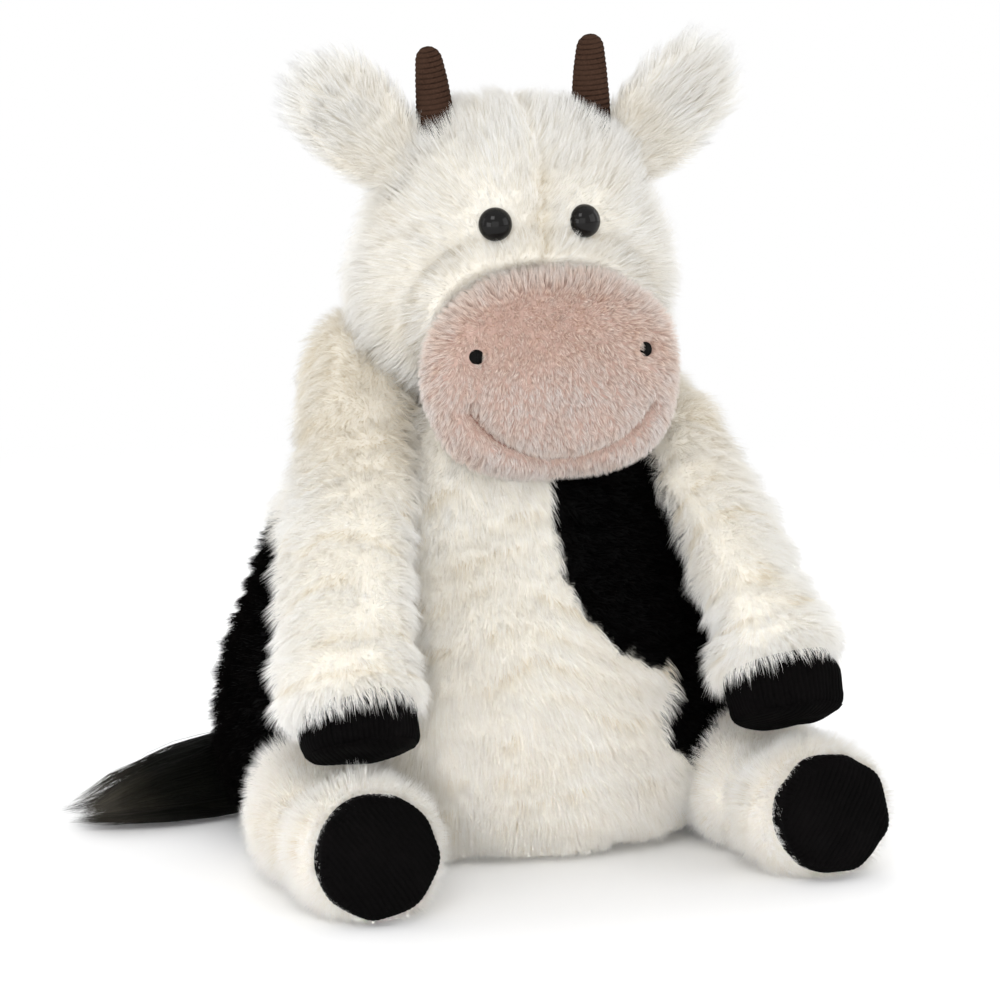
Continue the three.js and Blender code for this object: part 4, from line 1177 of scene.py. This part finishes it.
def make_horns():
    shares = np.linspace(0.0, 1.0, 150)
    turns = circle(44)
    profile = np.interp(shares, [0.0, 0.2, 0.45, 0.7, 0.86, 1.0], [1.06, 1.03, 0.98, 0.86, 0.74, 0.6])
    profile = profile * np.sqrt(np.clip(1.0 - np.clip((shares - 0.88) / 0.12, 0.0, 1.0) ** 2.6, 0.0, 1.0))
    profile = profile[:, None]
    for side_name, side in SIDES.items():
        points = node_points(f"horn_{side_name}")
        tip = points[points[:, 2].argmax()]
        low = points[points[:, 2] < np.quantile(points[:, 2], 0.35)]
        base = (low.min(axis=0) + low.max(axis=0)) / 2.0
        along = unit(tip - base)
        base = base - along * 7.0 * MM
        length = float(np.linalg.norm(tip - base)) + 0.8 * MM
        radius = (low[:, 0].max() - low[:, 0].min()) / 2.0
        across = unit(np.cross(along, -FORWARD))
        above = np.cross(along, across)
        distance = shares[:, None] * length + 1.7 * MM * np.sin(turns + 0.6)[None, :]
        crest = rib(distance, HORN_WALE_PITCH) * ease(shares, 0.1, 0.5)[:, None]
        seam = bell(np.minimum(turns, TURN - turns), 0.12)[None, :]
        out = radius * profile + HORN_WALE_HEIGHT * (crest - 1.0) * np.minimum(1.0, profile * 3.0)
        out = np.maximum(out - 0.5 * MM * seam, 0.02 * MM)
        lean = np.outer(np.sin(shares * math.pi) * 0.6 * MM * side, across)
        middles = base + np.outer(shares * length, along) + lean + HORN_RISES[side_name] * UP
        rings = ring(middles[:, None, :], out, turns, across, above)
        horn = add_rings(f"horn_cap_{side_name}", rings, crest)
        replaced = (f"horn_{side_name}", f"horn_filling_{side_name}")
        dress(horn, "brown_corduroy", "head", replaced)


# Ears

def make_ear(side_name, side):
    """A cupped flap of plush, bowed back from its root to its tip."""
    shares = np.linspace(0.0, 1.0, 44)
    turns = circle(40)
    widths = np.interp(shares, *EAR_WIDTHS) * MM
    thick = np.interp(shares, *EAR_DEPTHS) * MM
    node = f"ear_{side_name}"
    joint = joint_place(f"ear_flop_{side_name}")
    points = node_points(node)
    tip = points[gaps_to(points, joint).argmax()] + EAR_TIP_SHIFTS[side_name]
    root = joint + np.array((-side, 0.0, 0.45)) * EAR_SHIFT
    length = float(np.linalg.norm(tip - root)) - 2.0 * MM
    along = unit(tip - root)
    facing = laid(FORWARD, along)
    across = np.cross(along, facing)
    bow = 3.0 * MM * np.sin(shares * math.pi)
    flat = np.cos(turns)[None, :] * widths[:, None]
    cup = (flat / EAR_HALF_WIDTH) ** 2 * 4.0 * MM * ease(shares, 0.05, 0.45)[:, None]
    front = np.sin(turns)[None, :] * thick[:, None] + cup - bow[:, None]
    middles = (root + np.outer(shares * length, along))[:, None, :]
    skin = add_rings(f"ear_skin_{side_name}", middles + flat[..., None] * across + front[..., None] * facing)
    skin.data.flip_normals()
    dress(skin, "white_backing", node, (node,))

    def comb(roots, normals):
        off = ((roots - root) @ across)[:, None] / EAR_HALF_WIDTH
        return laid(along + 0.55 * off * across, normals)

    def travel(roots):
        return (roots - root) @ along

    def scale(roots):
        return 0.8 + 0.35 * ease(travel(roots) / length, 0.2, 0.9)

    def level(roots):
        """Painted shade: creamier inside the ear's cup towards its root."""
        inner = ease((roots - root) @ facing, -1.0 * MM, 2.0 * MM)
        return 0.3 * inner * (1.0 - ease(travel(roots), 8 * MM, 34 * MM)) - 0.08

    grow(
        f"ear_pile_{side_name}", node, Surface(skin), comb, scale=scale, level=level, bands=travel,
        seed=EAR_SEEDS[side_name], **COATS["ear"],
    )


# Arms and legs

class Limb:
    """An arm's or leg's middle line, from its joint to its flat round end panel."""

    def __init__(self, joint, panel):
        self.root = joint_place(joint)
        points = node_points(panel)
        self.end = points.mean(axis=0)
        self.axis = main_axis(points, 0, self.end - self.root)
        off = (points - self.end) - np.outer((points - self.end) @ self.axis, self.axis)
        self.radius = float(np.linalg.norm(off, axis=1).max())
        length = float(np.linalg.norm(self.end - self.root))
        bend = self.end - self.axis * length / 2.0
        self.line, self.ways = quadratic(self.root, bend, self.end, 60)
        steps = np.linalg.norm(np.diff(self.line, axis=0), axis=1)
        self.travel = np.concatenate([[0.0], np.cumsum(steps)])

    def nearest(self, places):
        return nearest_rows(places, self.line)

    def at(self, travel):
        """Middle and direction at a distance along the line."""
        place = np.array([np.interp(travel, self.travel, self.line[:, i]) for i in range(3)])
        way = np.array([np.interp(travel, self.travel, self.ways[:, i]) for i in range(3)])
        return place, unit(way)


def make_cap(limb, cap, side_name, cuff, body):
    """A corduroy band with a domed end panel, both with their ribs and a seam between.

    Corners and ribs are turned differently on each side.
    """
    turn_by = 1.0 + SIDES[side_name]
    total = limb.travel[-1]
    turns = circle(440)
    sideways = laid(RIGHTWARD, limb.axis)
    circumference = TURN * limb.radius
    band_crest = rib(turns * limb.radius, circumference / round(circumference / WALE_PITCH))

    def corner(share):
        waves = np.cos(CORNER_COUNT * turns + turn_by)
        return 1.0 - CORNER_SHARE * (1.0 - waves) / 2.0 * ease(share, 0.2, 0.9)

    def add_part(part, rings, crests):
        name = f"{cap}_{part}"
        piece = add_rings(f"{name}_cloth_{side_name}", np.array(rings), np.array(crests))
        dress(piece, "black_corduroy", body, (f"{name}_{side_name}",))

    rings = []
    for share in np.linspace(0.0, 1.0, 40):
        place, way = limb.at(cuff + (total - cuff) * share)
        across = laid(sideways, way)
        above = np.cross(way, across)
        swell = np.interp(share, [0.0, 0.35, 0.8, 1.0], [0.97, 1.02, 1.01, CAP_SHARE])
        out = limb.radius * swell * corner(share) + WALE_HEIGHT * (band_crest - 1.0)
        out = out - SEAM_DEPTH * bell((1.0 - share) * (total - cuff), SEAM_WIDTH)
        spots = ring(place, out, turns, across, above)
        wrinkle = noise(spots, 14 * MM, 60 + int(turn_by * 10)) * 0.35 * MM
        rings.append(ring(spots, wrinkle, turns, across, above))
    add_part("band", rings, [band_crest] * len(rings))

    above = np.cross(limb.axis, sideways)
    rings, crests = [], []
    for share in np.linspace(1.0, 0.0, 60)[:-1]:
        out = limb.radius * CAP_SHARE * corner(1.0) * share
        flat = ring(np.zeros(3), out, turns, RIGHTWARD, -FORWARD)
        crest = rib(flat[:, 0] * math.cos(0.6 + turn_by) + flat[:, 1] * math.sin(0.6 + turn_by), WALE_PITCH)
        rise = SOLE_CROWN * (1.0 - share ** 2.4) + WALE_HEIGHT * (crest - 1.0) * ease(1.0 - share, 0.0, 0.04)
        rise = rise - SEAM_DEPTH * 0.8 * bell((1.0 - share) * limb.radius, SEAM_WIDTH)
        spots = ring(limb.end, out, turns, sideways, above) + rise[:, None] * limb.axis
        rings.append(spots + noise(spots, 16 * MM, 80 + int(turn_by * 10))[:, None] * 0.4 * MM * limb.axis)
        crests.append(crest)
    add_part("sole", rings, crests)


# How the shoulders are drawn up beside the head, or down where the photograph shows them low
SHOULDER_RISES = {"left": np.array((0.0, 4.0, -6.0)) * MM, "right": np.array((3.0, 8.0, 17.0)) * MM}


def arm_shape(points, limb, rows, side_name):
    """Arms lie flat against the body, with the shoulder drawn up behind the head."""
    side = SIDES[side_name]
    share = limb.travel[rows] / limb.travel[-1]
    flat = unit(np.array((side * 0.77, -0.64, 0.0)))
    thin = 0.5 * ease(share, 0.08, 0.35) * (1.0 - ease(share, 0.66, 0.86))
    off = (points - limb.line[rows]) @ flat
    points = points - (off * thin)[:, None] * flat
    points[:, 0] -= side * 2.8 * MM * ease(share, -0.05, 0.08) * (1.0 - ease(share, 0.22, 0.4))
    if side_name == "right":
        points[:, 0] -= 2.6 * MM * ease(share, 0.2, 0.45) * (1.0 - ease(share, 0.78, 0.9))
    outer = ease(points[:, 0] * side, 0.036, 0.054) * (1.0 - ease(share, 0.0, 0.22))
    return points + outer[:, None] * ease(points[:, 2], 0.14, 0.175)[:, None] * SHOULDER_RISES[side_name]


def arm_shade_level(roots):
    """Painted shade: creamier at the shoulder, where the pile lies in the shade of the head."""
    return 0.62 * ease(roots[:, 2], 0.125, 0.165) - 0.05


def leg_shape(points, limb, rows, _):
    """A plump thigh, a crease and a puffed ring of cloth behind the foot."""
    share = limb.travel[rows] / limb.travel[-1]
    swell = 2.8 * MM * bell(share, 0.17, 0.28) - 3.8 * MM * bell(share, 0.055, 0.57)
    swell = swell + 2.2 * MM * bell(share, 0.08, 0.75)
    return points + unit(points - limb.line[rows]) * swell[:, None]


# cuff is where along the limb its corduroy starts. The white cloth's lower edge hangs over it
# by the overhang, and its slant makes it hang lower on the -X side. fall pulls the pile down, and
# end_scale is how long the pile is at its end.
LIMBS = {
    "arm": dict(
        joint="arm_lift", cap="hoof", cuff=0.86, shape=arm_shape, level=arm_shade_level, seed=81, fall=0.25,
        end_scale=1.0, slants={"left": 1.0 * MM, "right": 2.4 * MM},
        overhangs={"left": -1.0 * MM, "right": 3.2 * MM},
    ),
    "leg": dict(
        joint="leg_spread", cap="foot", cuff=0.87, shape=leg_shape, level=None, seed=91, fall=0.1,
        end_scale=0.85, slants={"left": 0.0, "right": 0.0},
        overhangs={"left": 1.2 * MM, "right": 1.8 * MM},
    ),
}
HEM_DEPTH = 5.0 * MM
HEM_SEED_STEP = 10


def make_limb(name, side_name):
    """A stuffed limb: its skin, its pile and its corduroy end."""
    look = LIMBS[name]
    body = f"{name}_{side_name}"
    limb = Limb(f"{look['joint']}_{side_name}", f"{look['cap']}_sole_{side_name}")
    cuff = limb.travel[-1] * look["cuff"]
    slant = look["slants"][side_name]
    seed = look["seed"] + int(SIDES[side_name])
    skin = filled_skin(f"{name}_skin_{side_name}", f"{name}_filling_{side_name}")
    smooth(skin, 4)
    stuff(skin, LIMB_SLACK)

    def across(places, rows):
        return np.clip((places[:, 0] - limb.line[rows, 0]) / limb.radius, -1.0, 1.0)

    def before_hem(places, rows):
        """How far a place is from the white cloth's lower edge."""
        edge = cuff + look["overhangs"][side_name] - slant * across(places, rows)
        return edge - limb.travel[rows]

    # The white cloth puffs out over the corduroy band, and is drawn in under it past the hem
    points = points_of(skin)
    rows = limb.nearest(points)
    points = look["shape"](points, limb, rows, side_name)
    off = points - limb.line[rows]
    radii = np.linalg.norm(off, axis=1)
    least = 1.04 * limb.radius + 0.3 * MM + slant * np.maximum(-across(points, rows), 0.0)
    outer = radii + np.maximum(least - radii, 0.0) * ease(limb.travel[rows], cuff - 7.0 * MM, cuff)
    inside = ease(-before_hem(points, rows), -1.0 * MM, 2.0 * MM)
    factors = (outer * (1.0 - inside) + 0.76 * radii * inside) / np.maximum(radii, 0.1 * MM)
    points = limb.line[rows] + off * factors[:, None]
    points[:, 2] = np.maximum(points[:, 2], FLOOR_CLEARANCE)
    set_points(skin, points)
    subdivide(skin)
    covers = (f"{name}_cover_{side_name}", f"{name}_filling_{side_name}")
    dress(skin, "white_backing", body, covers)
    make_cap(limb, look["cap"], side_name, cuff, body)

    def comb(roots, normals):
        return laid(limb.ways[limb.nearest(roots)] + look["fall"] * DOWN, normals)

    def travel(roots):
        return limb.travel[limb.nearest(roots)]

    def scale(roots):
        return 1.0 + (look["end_scale"] - 1.0) * ease(travel(roots), cuff - 14 * MM, cuff)

    middles = face_middles(skin)
    gaps = before_hem(middles, limb.nearest(middles))
    chosen = (gaps > -0.8 * MM) & (middles[:, 2] > 1.2 * FLOOR_CLEARANCE)
    grow(
        f"{name}_pile_{side_name}", body, Surface(skin, chosen), comb, scale=scale, level=look["level"],
        bands=travel, seed=seed, **COATS[name],
    )
    hem = Surface(skin, chosen & (gaps < HEM_DEPTH))
    grow(f"{name}_hem_{side_name}", body, hem, comb, seed=seed + HEM_SEED_STEP, **COATS[f"{name}_hem"])


# Tail

TUFT_HAIRS = 12000
TUFT_LOCKS = 46
TUFT_RINGS = 6
TUFT_HAIR_WIDTH = 0.26 * MM


def make_tail():
    """The tail's plush tube and the tuft at its end."""
    root = joint_place("tail_swing")
    tuft = node_points("tail_tuft")
    middle = tuft.mean(axis=0)
    along = main_axis(tuft, -1, -RIGHTWARD)
    reach = (tuft - middle) @ along
    start, end = middle + along * reach.min(), middle + along * reach.max()
    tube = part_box("tail_tube")
    radius = (tube[1].z - tube[0].z) / 2.0
    bend = np.array((start[0] * 0.72, tube[1].y - radius, root[2]))
    line, ways = quadratic(root, bend, start, 40)
    turns = circle(24)
    rings = []
    for row, (place, way) in enumerate(zip(line, ways)):
        end_share = math.sin(math.pi / 2 * min(1.0, (row + 0.3) / 5.0))
        out = radius * end_share * (1.0 - 0.2 * row / len(line))
        rings.append(ring(place, np.array(out), turns, unit(np.cross(UP, way)), UP))
    skin = add_rings("tail_skin", np.array(rings))
    dress(skin, "black_backing", "tail", ("tail_tube",))

    def comb(roots, normals):
        return laid(ways[nearest_rows(roots, line)], normals)

    grow("tail_pile", "tail", Surface(skin), comb, **COATS["tail"])
    make_tuft(start, end, along)


def make_tuft(start, end, along):
    """Long hair in locks, gathered at the tube's end, that falls to the floor and curves forward."""
    rng = np.random.default_rng(TUFT_SEED)
    lock_rng = np.random.default_rng(LOCK_SEED)
    count = TUFT_HAIRS
    length = float(np.linalg.norm(end - start))
    side_way = unit(np.cross(UP, along))
    lock = rng.integers(0, TUFT_LOCKS, count)

    def by_lock(*span):
        """One random number a lock, for each of its hairs."""
        return lock_rng.uniform(*span, TUFT_LOCKS)[lock]

    turn = (by_lock(0.0, TURN) + rng.normal(0.0, 0.22, count))[:, None]
    out = np.sqrt(np.clip(by_lock(0.0, 1.0) + rng.normal(0.0, 0.08, count), 0.0, 1.0))[:, None]
    high = (1.0 + np.sin(turn) * out) / 2.0
    across = np.cos(turn) * out
    back = rng.uniform(0.0, 1.0, (count, 1)) * length * 0.25
    roots = start - back * along + across * 8.0 * MM * side_way
    gathered = ease(back[:, 0], 0.1 * length, 0.25 * length)
    roots[:, 2] = (1.5 + 29.5 * high[:, 0] * (1.0 - 0.5 * gathered)) * MM
    reach = by_lock(0.5, 1.1)[:, None] * rng.uniform(0.6, 1.0, (count, 1)) ** 0.5
    tips = start + along * length * reach + across * 10.0 * MM * side_way
    tip_rise = by_lock(0.2, 1.0) * (0.25 + 0.75 * high[:, 0])
    tips[:, 2] = (1.5 + tip_rise * (9.0 + 17.0 * np.clip(1.1 - reach[:, 0], 0.0, 1.0))) * MM

    t = np.linspace(0.0, 1.0, TUFT_RINGS)[None, :, None]
    lines = roots[:, None, :] * (1.0 - t) + tips[:, None, :] * t
    fall = t ** (1.8 + 2.4 * high[:, :, None])
    lines[..., 2] = (roots[:, None, 2:] * (1.0 - fall) + tips[:, None, 2:] * fall)[..., 0]
    lines = lines + rng.normal(size=(count, 1, 3)) * 0.6 * MM * t
    lines[..., 2] = np.maximum(lines[..., 2], FLOOR_CLEARANCE + 0.6 * MM * rng.uniform(size=(count, 1)))
    forward = 18.0 * MM * np.exp(-lines[..., 2] / (7.0 * MM))
    lines[..., 1] -= forward * np.sin(t[..., 0] * math.pi * 0.6 + 0.9)
    lines[..., 1] -= 12.0 * MM * np.sin(math.pi * (0.15 + 0.7 * t[..., 0]))
    normals = unit(across * side_way + (high * 2.0 - 0.8) * UP)
    widths = TUFT_HAIR_WIDTH * rng.uniform(0.7, 1.3, count)
    levels = np.clip(0.25 + 0.5 * by_lock(0.0, 1.0) * out[:, 0] + rng.normal(0.0, 0.12, count), 0.0, 1.0)
    hair = hair_pieces("tail_hair", "tail", "tail_hair", lines, normals, widths, levels, rng)
    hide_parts("tail_tuft")


# Studio

def facing_way(way):
    """The turn that points a lamp or camera along a way."""
    return way.to_track_quat("-Z", "Y").to_euler()


def add_lamp(name, place, target, width, height, watts, spread):
    lamp = bpy.data.lights.new(name, "AREA")
    lamp.shape = "RECTANGLE"
    lamp.size = width
    lamp.size_y = height
    lamp.energy = watts
    lamp.spread = math.radians(spread)
    light = add_object(name, lamp)
    light.location = place
    light.rotation_euler = facing_way(Vector(target) - Vector(place))


def make_world():
    """Even studio light; the camera, gloss and glass see a white backdrop."""
    world = bpy.data.worlds.new("studio")
    bpy.context.scene.world = world
    world.use_nodes = True
    tree = world.node_tree
    background = tree.nodes["Background"]
    path = add_node(tree, "ShaderNodeLightPath")
    seen = math_node(tree, "MAXIMUM", path.outputs["Is Camera Ray"], path.outputs["Is Glossy Ray"])
    seen = math_node(tree, "MAXIMUM", seen, path.outputs["Is Transmission Ray"])
    strength = math_node(tree, "MULTIPLY_ADD", seen, 1.0 - WORLD_LEVEL, WORLD_LEVEL)
    background.inputs["Color"].default_value = (1.0, 1.0, 1.0, 1.0)
    tree.links.new(strength, background.inputs["Strength"])


def make_floor():
    """A white floor that keeps the shadow; further off the camera sees it as white as the backdrop."""
    size = FLOOR_REACH
    corners = [(-size, -size, 0.0), (size, -size, 0.0), (size, size, 0.0), (-size, size, 0.0)]
    floor = add_piece("floor", corners, [range(4)])
    tree, shader = new_material("floor", 0.9, 0.0)
    colour = mottle(tree, 3.0, (0.955, 0.955, 0.96), (0.965, 0.965, 0.965))
    tree.links.new(colour, shader.inputs["Base Color"])
    place = add_node(tree, "ShaderNodeTexCoord")
    reach = add_node(tree, "ShaderNodeVectorMath", operation="LENGTH")
    tree.links.new(place.outputs["Object"], reach.inputs[0])
    far = add_node(tree, "ShaderNodeMapRange", interpolation_type="SMOOTHSTEP")
    feed(tree, far.inputs, (reach.outputs["Value"], *FLOOR_FADE))
    path = add_node(tree, "ShaderNodeLightPath")
    seen = math_node(tree, "MULTIPLY", far.outputs["Result"], path.outputs["Is Camera Ray"])
    white = add_node(tree, "ShaderNodeEmission")
    both = add_node(tree, "ShaderNodeMixShader")
    feed(tree, both.inputs, (seen, shader.outputs["BSDF"], white.outputs["Emission"]))
    tree.links.new(both.outputs["Shader"], tree.nodes["Material Output"].inputs["Surface"])
    paint(floor, "floor")
    floor.location.z = -0.2 * MM


def make_camera():
    camera = bpy.data.cameras.new("camera")
    camera.lens = CAMERA_LENS
    camera.sensor_width = CAMERA_SENSOR
    camera.clip_end = 100.0
    placed = add_object("camera", camera)
    back = Vector((
        math.sin(CAMERA_AZIMUTH) * math.cos(CAMERA_ELEVATION),
        -math.cos(CAMERA_AZIMUTH) * math.cos(CAMERA_ELEVATION),
        math.sin(CAMERA_ELEVATION),
    ))
    placed.location = CAMERA_TARGET + back * CAMERA_DISTANCE
    placed.rotation_euler = facing_way(-back)
    bpy.context.scene.camera = placed


make_camera()
make_world()
make_floor()
for lamp in LAMPS:
    add_lamp(*lamp)
bpy.context.scene.view_settings.view_transform = "Standard"
make_body()
make_head()
make_eyes()
make_muzzle()
make_horns()
for side_name, side in SIDES.items():
    make_ear(side_name, side)
for side_name in SIDES:
    for limb_name in LIMBS:
        make_limb(limb_name, side_name)
    paint(frame["nodes"][f"eye_washer_{side_name}"], "washer_plastic")
make_tail()
